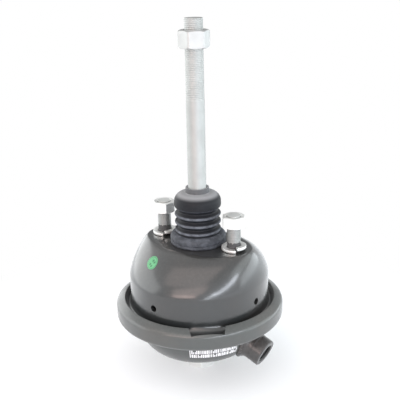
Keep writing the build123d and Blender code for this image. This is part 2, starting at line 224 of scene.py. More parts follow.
def sheet_outline(sides: tuple[list[Pair], list[Pair]], edge: float) -> list[Pair]:
    """Return the closed outline of a bent sheet, its cut edges a little rounded."""
    left, right = sides
    return softened([*left, *reversed(right)], edge, 60.0)


def section_at(loop: Sequence[Pair], angle: float) -> Ring:
    """Return (radius, height) points as a ring of vertices at one angle about Z."""
    return [polar(angle, radius, height) for radius, height in loop]


# --- meshes
def grid_faces(rows: int, size: int, joined: bool) -> list[tuple[int, ...]]:
    """Return four-sided faces between closed rows of vertices, the last joined to the first if asked."""
    faces = []
    for row in range(rows if joined else rows - 1):
        here, ahead = row * size, (row + 1) % rows * size
        for column in range(size):
            after = (column + 1) % size
            faces.append((here + column, here + after, ahead + after, ahead + column))
    return faces


def grid_mesh(name: str, rings: Sequence[Ring], joined: bool) -> Mesh:
    """Return a mesh of four-sided faces between rings of vertices.

    Args:
        name: The mesh's name.
        rings: Closed rings with the same number of vertices each.
        joined: Whether the last ring joins the first. Otherwise both get an end cap.

    Returns:
        The mesh, with its faces turned outwards.
    """
    size = len(rings[0])
    faces = grid_faces(len(rings), size, joined)
    if not joined:
        last = (len(rings) - 1) * size
        faces += [tuple(range(size)), tuple(range(last, last + size))]
    mesh = bpy.data.meshes.new(name)
    mesh.from_pydata([tuple(vertex) for ring in rings for vertex in ring], [], faces)
    work = bmesh.new()
    work.from_mesh(mesh)
    bmesh.ops.remove_doubles(work, verts=work.verts, dist=1e-7)
    bmesh.ops.recalc_face_normals(work, faces=work.faces)
    work.to_mesh(mesh)
    work.free()
    return mesh


def spun(name: str, loop: Sequence[Pair], segments: int) -> Mesh:
    """Return the body that a closed (radius, height) outline makes as it turns about Z."""
    return grid_mesh(name, [section_at(loop, angle) for angle in turns_of(segments)], joined=True)


def turned(name: str, path: Sequence[Pair], segments: int = 64) -> Mesh:
    """Return the solid that an open path makes about Z, its two ends capped."""
    angles = turns_of(segments)
    rings = [[polar(angle, radius, height) for angle in angles] for radius, height in path]
    return grid_mesh(name, rings, joined=False)


def circle(centre: Vector, side: Vector, up: Vector, radius: float, sides: int) -> Ring:
    """Return a circle of vertices in the plane of two directions."""
    return [centre + radius * (math.cos(a) * side + math.sin(a) * up) for a in turns_of(sides)]


def tube(name: str, centres: Sequence[Vector], radius: float, sides: int = 12) -> Mesh:
    """Return a round wire along a row of points, capped at both ends."""
    rings = []
    for index, centre in enumerate(centres):
        ahead = centres[min(index + 1, len(centres) - 1)] - centres[max(index - 1, 0)]
        side = ahead.cross(Vector((0, 0, 1))).normalized()
        rings.append(circle(centre, side, side.cross(ahead).normalized(), radius, sides))
    return grid_mesh(name, rings, joined=False)


def bar(start: Vector, end: Vector, radius: float, sides: int = 32) -> Mesh:
    """Return a capped round bar from start to end."""
    along = (end - start).normalized()
    side = along.orthogonal().normalized()
    up = along.cross(side)
    return grid_mesh("bar", [circle(at, side, up, radius, sides) for at in (start, end)], joined=False)


def placed(mesh: Mesh, matrix: Matrix) -> Mesh:
    """Move a mesh's vertices by a matrix and return the mesh."""
    mesh.transform(matrix)
    return mesh


def merged(name: str, meshes: Sequence[Mesh]) -> Mesh:
    """Return one mesh that holds several."""
    work = bmesh.new()
    for mesh in meshes:
        work.from_mesh(mesh)
    out = bpy.data.meshes.new(name)
    work.to_mesh(out)
    work.free()
    return out


def linked(name: str, data: bpy.types.ID) -> bpy.types.Object:
    """Put an object with this data in the scene and return it."""
    thing = bpy.data.objects.new(name, data)
    bpy.context.scene.collection.objects.link(thing)
    return thing


def carved(mesh: Mesh, cutters: Sequence[Mesh]) -> Mesh:
    """Return the mesh with each cutter's volume taken out of it."""
    body = linked("carved_body", mesh)
    tools = [linked("carving_tool", cutter) for cutter in cutters]
    for tool in tools:
        step = body.modifiers.new("carve", "BOOLEAN")
        step.operation = "DIFFERENCE"
        step.solver = "EXACT"
        step.object = tool
    bpy.context.view_layer.update()
    graph = bpy.context.evaluated_depsgraph_get()
    out = bpy.data.meshes.new_from_object(body.evaluated_get(graph))
    out.name = mesh.name
    for thing in (body, *tools):
        bpy.data.objects.remove(thing)
    return out


@dataclass(frozen=True)
class Thread:
    """A right-handed outside thread with a run-out at its foot and a chamfer at its tip."""

    crest: float
    depth: float
    bottom: float
    top: float
    pitch: float = 1.5 * MM
    segments: int = 48
    fade_turns: float = 1.5
    marks: tuple[Pair, ...] = ((0.0, 0.0), (0.14, 0.0), (0.42, 1.0), (0.58, 1.0), (0.86, 0.0))

    def vertex(self, angle: float, level: float, cut: float) -> Vector:
        """Return one vertex, at an angle, a height and a share of the thread's depth."""
        fade = clamped((level - self.bottom) / (self.fade_turns * self.pitch))
        tip = max(0.0, level - (self.top - self.depth))
        radius = min(self.crest - cut * self.depth * fade, self.crest - tip)
        return polar(angle, radius, min(max(level, self.bottom), self.top))

    def mesh(self) -> Mesh:
        """Return the threaded body."""
        rings = [[Vector((0, 0, self.bottom))] * self.segments]
        for turn in range(-1, math.ceil((self.top - self.bottom) / self.pitch) + 2):
            for share, cut in self.marks:
                start = self.bottom + (turn + share) * self.pitch
                ring = []
                for step, angle in enumerate(turns_of(self.segments)):
                    ring.append(self.vertex(angle, start + self.pitch * step / self.segments, cut))
                rings.append(ring)
        rings.append([Vector((0, 0, self.top))] * self.segments)
        return grid_mesh("thread", rings, joined=False)


@dataclass(frozen=True)
class Hexagon:
    """A nut, or a bolt head where bore is 0, with turned corners and a countersunk bore."""

    across_flats: float
    bottom: float
    top: float
    bore: float
    turn: float
    sink: float = 0.8 * MM
    corner: float = 0.35 * MM
    soft: float = 0.18 * MM
    chamfer: float = 26.0
    segments: int = 144

    def radius(self, angle: float) -> float:
        """Return the hexagon's radius at an angle, its corners rounded off by a small amount."""
        off_flat = (angle % math.radians(60)) - math.radians(30)
        half = self.across_flats / 2
        return min(half / math.cos(off_flat), half / math.cos(math.radians(30)) - self.corner)

    def section(self, angle: float) -> list[Pair]:
        """Return the outline at an angle, from the bore's upper edge to its lower one."""
        flat, soft, top = self.across_flats / 2 - self.corner, self.soft, self.top
        sink = self.sink if self.bore else 0.0
        outer = self.radius(angle)
        drop = (outer - flat) * math.tan(math.radians(self.chamfer))
        half = [
            (self.bore, top - sink - soft),
            (self.bore + 0.1 * soft, top - sink),
            (self.bore + sink, top),
            (flat - soft, top),
            (flat + 0.3 * soft, top - 0.25 * soft),
            (outer - soft, top - drop - 0.1 * soft),
            (outer, top - drop - soft),
        ]
        return [*half, *((radius, self.bottom + top - height) for radius, height in reversed(half))]

    def mesh(self, name: str) -> Mesh:
        """Return the mesh, standing on the Z axis, a corner turned from +X by the turn in degrees."""
        turn = math.radians(self.turn)
        rings = [section_at(self.section(a), a + turn) for a in turns_of(self.segments)]
        if not self.bore:
            for ring in rings:
                ring[:3] = [Vector((0, 0, self.top))] * 3
                ring[-3:] = [Vector((0, 0, self.bottom))] * 3
        return grid_mesh(name, rings, joined=True)


# --- pieces
def piece(
    mesh: Mesh,
    body: Body | None,
    finish: "Finish",
    smooth: float = 35.0,
    stands_for: Sequence[str] = (),
) -> bpy.types.Object:
    """Put a mesh in the scene as one named piece of the chamber.

    Args:
        mesh: The mesh, whose name becomes the piece's name.
        body: The body that the piece rides on, or None for a piece that is attached to neither.
        finish: The finish that it wears.
        smooth: Edges that turn by more than this many degrees stay sharp.
        stands_for: The model's nodes that the piece replaces.

    Returns:
        The new object.
    """
    for face in mesh.polygons:
        face.use_smooth = True
    mesh.set_sharp_from_angle(angle=math.radians(smooth))
    thing = linked(mesh.name, mesh)
    # Clearing an empty list would still set every face back to the first material.
    if mesh.materials:
        mesh.materials.clear()
    mesh.materials.append(finish.material())
    if body:
        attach(thing, body.value)
    if stands_for:
        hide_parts(*stands_for)
    log.info("%s: %d faces", thing.name, len(mesh.polygons))
    return thing


def dress(node: str, finish: "Finish") -> None:
    """Give one of the model's own nodes a finish."""
    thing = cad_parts[node]
    thing.data.materials.clear()
    thing.data.materials.append(finish.material())
    log.info("%s: dressed as %s", node, finish.name)


def follow_rod(thing: bpy.types.Object) -> None:
    """Bake a piece's placement into its mesh; the piece rides on no body."""
    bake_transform(thing)


# --- finishes
class Sketch:
    """A node tree with short ways to add and join nodes. A value is a socket or a constant."""

    def __init__(self, tree: bpy.types.NodeTree) -> None:
        """Keep the tree that nodes go into."""
        self.tree = tree

    @classmethod
    def fresh(cls, owner: bpy.types.Material | bpy.types.World) -> "Sketch":
        """Empty a material's or a world's node tree and return it."""
        owner.use_nodes = True
        owner.node_tree.nodes.clear()
        return cls(owner.node_tree)

    def feed(self, node: Node, values: Values) -> None:
        """Give a node's inputs, by name or number, a socket or a constant each."""
        for label, value in values.items():
            target = node.inputs[label]
            if isinstance(value, Socket):
                self.tree.links.new(value, target)
            else:
                target.default_value = (*value, 1.0) if target.type == "RGBA" else value

    def add(self, kind: str, values: Values | None = None, **settings: object) -> Node:
        """Add a node, set its properties, feed its inputs and return it."""
        node = self.tree.nodes.new(kind)
        for name, value in settings.items():
            setattr(node, name, value)
        self.feed(node, values or {})
        return node

    def math(self, operation: str, *values: object, clamp: bool = False) -> Socket:
        """Add a Math node and return its result, held between 0 and 1 where clamp is set."""
        inputs = dict(enumerate((*values, 0.0) if len(values) == 1 else values))
        return self.add("ShaderNodeMath", inputs, operation=operation, use_clamp=clamp).outputs[0]

    def distance(self, first: Socket, second: Socket) -> Socket:
        """Return the length of a flat vector with these two parts."""
        squares = [self.math("POWER", value, 2.0) for value in (first, second)]
        return self.math("SQRT", self.math("ADD", *squares))

    def mix(self, share: object, first: object, second: object) -> Socket:
        """Return a colour that runs from the first at a share of 0 to the second at 1."""
        values = {0: share, 6: first, 7: second}
        return self.add("ShaderNodeMix", values, data_type="RGBA").outputs[2]

    def ramp(
        self, value: Socket, low: object = 0.0, high: object = 1.0, to: Pair = (0.0, 1.0), soft: bool = True
    ) -> Socket:
        """Map a value from one range to another.

        Args:
            value: The socket to map.
            low: Where the first range starts.
            high: Where it ends.
            to: Start and end of the range that comes out.
            soft: Whether the ends are eased.

        Returns:
            The mapped value's socket.
        """
        values = {"Value": value, "From Min": low, "From Max": high, "To Min": to[0], "To Max": to[1]}
        kind = "SMOOTHSTEP" if soft else "LINEAR"
        return self.add("ShaderNodeMapRange", values, interpolation_type=kind).outputs["Result"]

    def grain(self, place: Socket, scale: object, detail: object, **more: float) -> Socket:
        """Add a noise texture and return its value."""
        values = {"Vector": place, "Scale": scale, "Detail": detail, **more}
        return self.add("ShaderNodeTexNoise", values).outputs["Fac"]

    def split(self, vector: Socket) -> Sequence[Socket]:
        """Return a vector's three parts."""
        return self.add("ShaderNodeSeparateXYZ", {0: vector}).outputs

    def place(self) -> Socket:
        """Return the socket with each point's place on the piece."""
        return self.add("ShaderNodeTexCoord").outputs["Object"]

    def facing(self) -> Socket:
        """Return the socket with the way the surface faces."""
        return self.add("ShaderNodeNewGeometry").outputs["Normal"]


def soft_patches(sketch: Sketch, given: dict[str, Socket]) -> Socket:
    """Fill the group that puts soft-edged patches of noise on a surface."""
    grain = sketch.grain(given["Place"], given["Scale"], given["Detail"])
    return sketch.ramp(grain, given["Start"], given["Full"])


def two_grains(sketch: Sketch, given: dict[str, Socket]) -> Socket:
    """Fill the group that adds a coarse and a fine grain into one height."""
    coarse = sketch.grain(given["Place"], given["Coarse"], 2.0)
    fine = sketch.grain(given["Place"], given["Fine"], 3.0)
    return sketch.math("ADD", coarse, sketch.math("MULTIPLY", fine, given["Fine share"]))


def settled_dust(sketch: Sketch, given: dict[str, Socket]) -> Socket:
    """Fill the group that says how much dust lies on a surface that faces upwards."""
    grain = sketch.grain(given["Place"], given["Scale"], 6.0, Roughness=0.7)
    upward = sketch.ramp(sketch.split(given["Facing"])["Z"], -0.2)
    both = sketch.math("MULTIPLY", upward, sketch.ramp(grain, 0.42, 0.68))
    return sketch.math("MULTIPLY", both, given["Amount"], clamp=True)


@dataclass(frozen=True)
class SharedGroup:
    """A node group that materials share. An input with no default is a vector."""

    name: str
    inputs: dict[str, float | None]
    output: str
    fill: Callable[[Sketch, dict[str, Socket]], Socket]

    def tree(self) -> bpy.types.NodeTree:
        """Return the group's tree, built once."""
        if self.name in bpy.data.node_groups:
            return bpy.data.node_groups[self.name]
        group = bpy.data.node_groups.new(self.name, "ShaderNodeTree")
        for label, default in self.inputs.items():
            kind = "NodeSocketVector" if default is None else "NodeSocketFloat"
            socket = group.interface.new_socket(name=label, in_out="INPUT", socket_type=kind)
            if default is not None:
                socket.default_value = default
        group.interface.new_socket(name=self.output, in_out="OUTPUT", socket_type="NodeSocketFloat")
        sketch = Sketch(group)
        given = {socket.name: socket for socket in sketch.add("NodeGroupInput").outputs}
        sketch.add("NodeGroupOutput", {self.output: self.fill(sketch, given)})
        return group

    def use(self, sketch: Sketch, values: Values) -> Socket:
        """Add the group to another tree and return its output there."""
        return sketch.add("ShaderNodeGroup", values, node_tree=self.tree()).outputs[self.output]


PATCHES = SharedGroup(
    "surface patches",
    {"Place": None, "Scale": 100.0, "Detail": 4.0, "Start": 0.45, "Full": 0.65},
    "Mask",
    soft_patches,
)
RELIEF = SharedGroup(
    "surface relief",
    {"Place": None, "Coarse": 200.0, "Fine": 1500.0, "Fine share": 0.3},
    "Height",
    two_grains,
)
DUST = SharedGroup(
    "settled dust",
    {"Place": None, "Facing": None, "Scale": 300.0, "Amount": 0.5},
    "Mask",
    settled_dust,
)


@dataclass(frozen=True)
class Finish:
    """What every finish has: a name, its slot in the record and a way to make its material."""

    name: str
    slot: Slot
    colour: Colour

    def material(self) -> bpy.types.Material:
        """Return the finish's material, built once."""
        if self.name in bpy.data.materials:
            return bpy.data.materials[self.name]
        made = bpy.data.materials.new(self.name)
        sketch = Sketch.fresh(made)
        shader = sketch.add("ShaderNodeBsdfPrincipled")
        sketch.add("ShaderNodeOutputMaterial", {"Surface": shader.outputs["BSDF"]})
        self.dress_shader(sketch, shader)
        return made

    def dress_shader(self, sketch: Sketch, shader: Node) -> None:
        """Set the shader's sockets and join patterns to them."""
        raise NotImplementedError

    def patches(
        self, sketch: Sketch, scale: float, start: float, full: float, detail: float = 4.0
    ) -> Socket:
        """Return a mask of soft patches, this many to the metre."""
        values = {"Place": sketch.place(), "Scale": scale, "Detail": detail, "Start": start, "Full": full}
        return PATCHES.use(sketch, values)

    def relief(
        self, sketch: Sketch, shader: Node, coarse: float, fine: float, share: float, height: float
    ) -> None:
        """Give the shader a bump from a coarse and a fine grain, of this height in metres."""
        values = {"Place": sketch.place(), "Coarse": coarse, "Fine": fine, "Fine share": share}
        bump = {"Distance": height, "Height": RELIEF.use(sketch, values)}
        sketch.feed(shader, {"Normal": sketch.add("ShaderNodeBump", bump).outputs["Normal"]})

    def dust(self, sketch: Sketch, scale: float, amount: float) -> Socket:
        """Return a mask of dust that lies on what faces upwards."""
        values = {"Place": sketch.place(), "Facing": sketch.facing(), "Scale": scale, "Amount": amount}
        return DUST.use(sketch, values)

    def roughness(self, sketch: Sketch, shader: Node, mask: Socket, low: float, high: float) -> None:
        """Let roughness run from low to high with a mask."""
        sketch.feed(shader, {"Roughness": sketch.ramp(mask, to=(low, high), soft=False)})


@dataclass(frozen=True)
class Paint(Finish):
    """Sprayed and dried paint on pressed or forged steel."""

    warm: Colour
    smooth: float
    rough: float
    orange_peel: float
    dust_amount: float
    coat: float
    dust_colour: Colour = (0.32, 0.31, 0.29)

    def dress_shader(self, sketch: Sketch, shader: Node) -> None:
        """Build paint with slow shifts of tone, orange peel and a little dust."""
        shift = self.patches(sketch, scale=14.0, start=0.35, full=0.7)
        mottle = sketch.math("MULTIPLY", self.patches(sketch, scale=160.0, start=0.4, full=0.75), 0.18)
        darker = tuple(channel * 0.6 for channel in self.colour)
        shade = sketch.mix(mottle, sketch.mix(shift, self.colour, self.warm), darker)
        dusted = sketch.mix(self.dust(sketch, 420.0, self.dust_amount), shade, self.dust_colour)
        sketch.feed(shader, {"Base Color": dusted, "Coat Weight": self.coat, "Coat Roughness": 0.17})
        worn = self.patches(sketch, scale=60.0, start=0.3, full=0.7)
        self.roughness(sketch, shader, worn, self.smooth, self.rough)
        self.relief(sketch, shader, coarse=260.0, fine=1600.0, share=0.25, height=self.orange_peel)


@dataclass(frozen=True)
class Plating(Finish):
    """Zinc plate or bare steel, with faint stains.

    Paint oversprays it below one height, and its thread is of another brightness above another; on the push
    rod this is partly freshly rolled metal and partly painted light for the shade between the thread's
    turns.
    """

    stain: Colour
    smooth: float
    rough: float
    stain_amount: float
    grain: float = 0.00002
    paint_up_to: float | None = None
    paint_ragged: float = 0.0012
    paint_colour: Colour = (0.05, 0.05, 0.052)
    bright_from: float | None = None
    thread_gain: float = 1.08

    def dress_shader(self, sketch: Sketch, shader: Node) -> None:
        """Build plated metal, its thread and the overspray on its foot."""
        stains = self.patches(sketch, scale=120.0, start=0.5, full=0.72, detail=6.0)
        colour = sketch.mix(sketch.math("MULTIPLY", stains, self.stain_amount), self.colour, self.stain)
        metallic: object = 1.0
        height = sketch.split(sketch.place())["Z"]
        # Lightened above bright_from by thread_gain; on the push rod partly freshly rolled metal, partly
        # painted light for the shade between the turns.
        if self.bright_from is not None:
            thread = sketch.math("GREATER_THAN", height, self.bright_from)
            colour = sketch.mix(thread, colour, tuple(self.thread_gain * c for c in self.colour))
        if self.paint_up_to is not None:
            ragged = self.patches(sketch, scale=500.0, start=0.3, full=0.7)
            level = sketch.math("MULTIPLY_ADD", ragged, self.paint_ragged, self.paint_up_to)
            painted = sketch.math("LESS_THAN", sketch.math("SUBTRACT", height, level), 0.0)
            colour = sketch.mix(painted, colour, self.paint_colour)
            metallic = sketch.math("SUBTRACT", 1.0, painted)
        sketch.feed(shader, {"Base Color": colour, "Metallic": metallic})
        worn = self.patches(sketch, scale=90.0, start=0.3, full=0.7)
        self.roughness(sketch, shader, worn, self.smooth, self.rough)
        self.relief(sketch, shader, coarse=900.0, fine=4000.0, share=0.5, height=self.grain)


@dataclass(frozen=True)
class Rubber(Finish):
    """Moulded black rubber with a bloom on its outer edges, partly a painted highlight on the fold crests,
    and dust on its shoulder.
    """

    bloom: Colour
    bloom_amount: float
    groove: float = 0.0
    crest: float = 0.0
    shoulder: float | None = None
    dust_colour: Colour = (0.26, 0.265, 0.275)

    def bloom_and_crest_highlight(self, sketch: Sketch, bloom: Socket, height: Socket) -> Socket:
        """Let the bloom grow from groove radius to crest radius, and more above the foot: partly real bloom,
        partly a painted highlight on the crests and painted shade in the grooves.
        """
        across, along, _ = sketch.split(sketch.place())
        # Lighter towards the crest radius: painted highlight on the crests, painted shade in the grooves.
        reach = sketch.ramp(sketch.distance(across, along), self.groove, self.crest)
        worn = sketch.math("MULTIPLY_ADD", bloom, 0.6, 0.4)
        heavier = sketch.math("MULTIPLY_ADD", sketch.ramp(height, 8 * MM, 11 * MM), 0.5, 0.5)
        return sketch.math("MULTIPLY", sketch.math("MULTIPLY", worn, reach), heavier)

    def on_shoulder(self, sketch: Sketch, height: Socket) -> Socket:
        """Return the mask of the dust that lies over the shoulder."""
        top = sketch.ramp(height, self.shoulder + 7 * MM, self.shoulder + 11 * MM)
        upward = sketch.ramp(sketch.split(sketch.facing())["Z"], 0.2, 0.9)
        return sketch.math("MULTIPLY", top, sketch.math("MAXIMUM", upward, 0.35))

    def dress_shader(self, sketch: Sketch, shader: Node) -> None:
        """Build rubber with the bloom and the dust that its fields ask for."""
        bloom = self.patches(sketch, scale=240.0, start=0.3, full=0.75, detail=7.0)
        height = sketch.add("ShaderNodeAttribute", attribute_name=REST_HEIGHT).outputs["Fac"]
        if self.crest > self.groove:
            bloom = self.bloom_and_crest_highlight(sketch, bloom, height)
        if self.shoulder is None:
            dust = self.dust(sketch, 700.0, 0.15)
        else:
            side = sketch.ramp(height, self.shoulder - 3 * MM, self.shoulder)
            bloom = sketch.math("MULTIPLY", bloom, sketch.math("SUBTRACT", 1.0, side))
            dust = self.on_shoulder(sketch, height)
        bloom_and_fold_highlight = sketch.mix(sketch.math("MULTIPLY", bloom, self.bloom_amount), self.colour, self.bloom)
        dusted = sketch.mix(dust, bloom_and_fold_highlight, self.dust_colour)
        sketch.feed(shader, {"Base Color": dusted, "Specular IOR Level": 0.22})
        self.roughness(sketch, shader, bloom, 0.5, 0.75)
        self.relief(sketch, shader, coarse=700.0, fine=2600.0, share=0.4, height=0.00005)


@dataclass(frozen=True)
class PrintedLabel(Finish):
    """A pale oval inspection label with a plain ring and two plain bars."""

    ink: Colour

    def dress_shader(self, sketch: Sketch, shader: Node) -> None:
        """Build printed paper from the piece's own flat coordinates, which run from -1 to 1."""
        flat = sketch.add("ShaderNodeUVMap", uv_map="flat").outputs["UV"]
        across, along, _ = sketch.split(flat)
        ring = sketch.math("COMPARE", sketch.distance(across, along), 0.86, 0.03)
        in_width = sketch.math("LESS_THAN", sketch.math("ABSOLUTE", across), 0.42)
        bar_rows = sketch.math("COMPARE", sketch.math("ABSOLUTE", along), 0.36, 0.19)
        waves = sketch.math("SINE", sketch.math("MULTIPLY", across, 16.0))
        dashes = sketch.math("GREATER_THAN", waves, -0.35)
        bars = sketch.math("MULTIPLY", sketch.math("MULTIPLY", bar_rows, in_width), dashes)
        worn = self.patches(sketch, scale=1500.0, start=0.15, full=0.45)
        faded = sketch.math("MULTIPLY", sketch.math("MAXIMUM", ring, bars), worn)
        sketch.feed(shader, {"Base Color": sketch.mix(faded, self.colour, self.ink)})
        self.roughness(sketch, shader, self.patches(sketch, scale=700.0, start=0.3, full=0.7), 0.35, 0.5)
        self.relief(sketch, shader, coarse=900.0, fine=3000.0, share=0.4, height=0.00002)


@dataclass(frozen=True)
class StampInk(Finish):
    """White stamping paint, thin and slightly broken."""

    thin_colour: Colour = (0.3, 0.3, 0.3)

    def dress_shader(self, sketch: Sketch, shader: Node) -> None:
        """Build ink that lets the paint under it show in places."""
        thin = self.patches(sketch, scale=900.0, start=0.52, full=0.75)
        sketch.feed(shader, {"Base Color": sketch.mix(thin, self.colour, self.thin_colour)})
        self.roughness(sketch, shader, thin, 0.55, 0.75)
        self.relief(sketch, shader, coarse=1200.0, fine=4000.0, share=0.5, height=0.00003)


GLOSS_BLACK = Paint(
    "semi-gloss black paint",
    Slot.BLACK,
    (0.017, 0.02, 0.021),
    (0.022, 0.02, 0.019),
    smooth=0.3,
    rough=0.4,
    orange_peel=0.00001,
    dust_amount=0.03,
    coat=1.0,
)
SATIN_GREY = Paint(
    "satin charcoal paint",
    Slot.GREY,
    (0.05, 0.056, 0.055),
    (0.06, 0.058, 0.053),
    smooth=0.38,
    rough=0.48,
    orange_peel=0.00004,
    dust_amount=0.06,
    coat=0.75,
)
PORT_GREY = replace(
    SATIN_GREY,
    name="satin brown-grey paint",
    colour=(0.038, 0.038, 0.038),
    warm=(0.058, 0.046, 0.042),
    rough=0.5,
    orange_peel=0.00008,
    coat=0.55,
)
# Zinc lightened beyond the plate's own tone, as painted light making up for the shade the boot casts on the
# stud nuts.
LIGHTENED_BRIGHT_ZINC = Plating(
    "bright zinc plate", Slot.ZINC, (0.86, 0.865, 0.85), (0.68, 0.66, 0.63), 0.46, 0.6, stain_amount=0.12
)
# A darker copy for the rod nut, which stands in full light: painted shade.
DIMMED_ROD_NUT_ZINC = replace(
    LIGHTENED_BRIGHT_ZINC,
    name="worn zinc plate",
    colour=(0.49, 0.495, 0.49),
    stain=(0.42, 0.42, 0.4),
    smooth=0.5,
    rough=0.62,
)
SATIN_ZINC = Plating(
    "satin zinc plate",
    Slot.ZINC_DULL,
    (0.395, 0.404, 0.397),
    (0.35, 0.35, 0.345),
    smooth=0.55,
    rough=0.64,
    stain_amount=0.2,
    # Thread lightened from here up: partly freshly rolled metal, partly painted light for the shade between
    # its turns.
    bright_from=127.8 * MM,
)
STUD_ZINC = replace(
    SATIN_ZINC,
    name="satin zinc with black overspray",
    colour=(0.33, 0.335, 0.33),
    stain=(0.29, 0.29, 0.28),
    smooth=0.56,
    rough=0.66,
    stain_amount=0.15,
    paint_up_to=8.4 * MM,
    bright_from=31.5 * MM,
    thread_gain=2.0,
)
LOW_STUD_ZINC = replace(STUD_ZINC, name="satin zinc with low black overspray", paint_up_to=7.0 * MM)
# Very dark steel for the inside of the port bores: painted shade in the recess.
SHADED_BORE_STEEL = Plating(
    "dark cut thread", Slot.STEEL, (0.06, 0.06, 0.058), (0.035, 0.033, 0.032), 0.5, 0.65, stain_amount=0.6
)
BARE_STEEL = Plating(
    "oiled bare steel", Slot.STEEL, (0.42, 0.42, 0.42), (0.24, 0.22, 0.2), 0.35, 0.55, stain_amount=0.5
)
SOFT_COPPER = replace(
    BARE_STEEL, name="soft copper", slot=Slot.COPPER, colour=(0.72, 0.4, 0.26), stain=(0.4, 0.22, 0.16)
)
BOOT_RUBBER = Rubber(
    "dusty moulded rubber",
    Slot.RUBBER,
    (0.009, 0.01, 0.013),
    # Bloom colour; on the fold crests it is partly a painted highlight.
    (0.17, 0.185, 0.215),
    bloom_amount=0.9,
    groove=19.3 * MM,
    crest=20.6 * MM,
    shoulder=35.0 * MM,
)
SHEET_RUBBER = Rubber(
    "fabric-backed rubber", Slot.FABRIC_RUBBER, (0.03, 0.03, 0.03), (0.09, 0.09, 0.09), bloom_amount=0.5
)
LABEL_PAPER = PrintedLabel("green printed paper", Slot.LABEL, (0.102, 0.36, 0.168), ink=(0.02, 0.12, 0.05))
WHITE_INK = StampInk("white stamping paint", Slot.MARKING, (0.82, 0.82, 0.84))


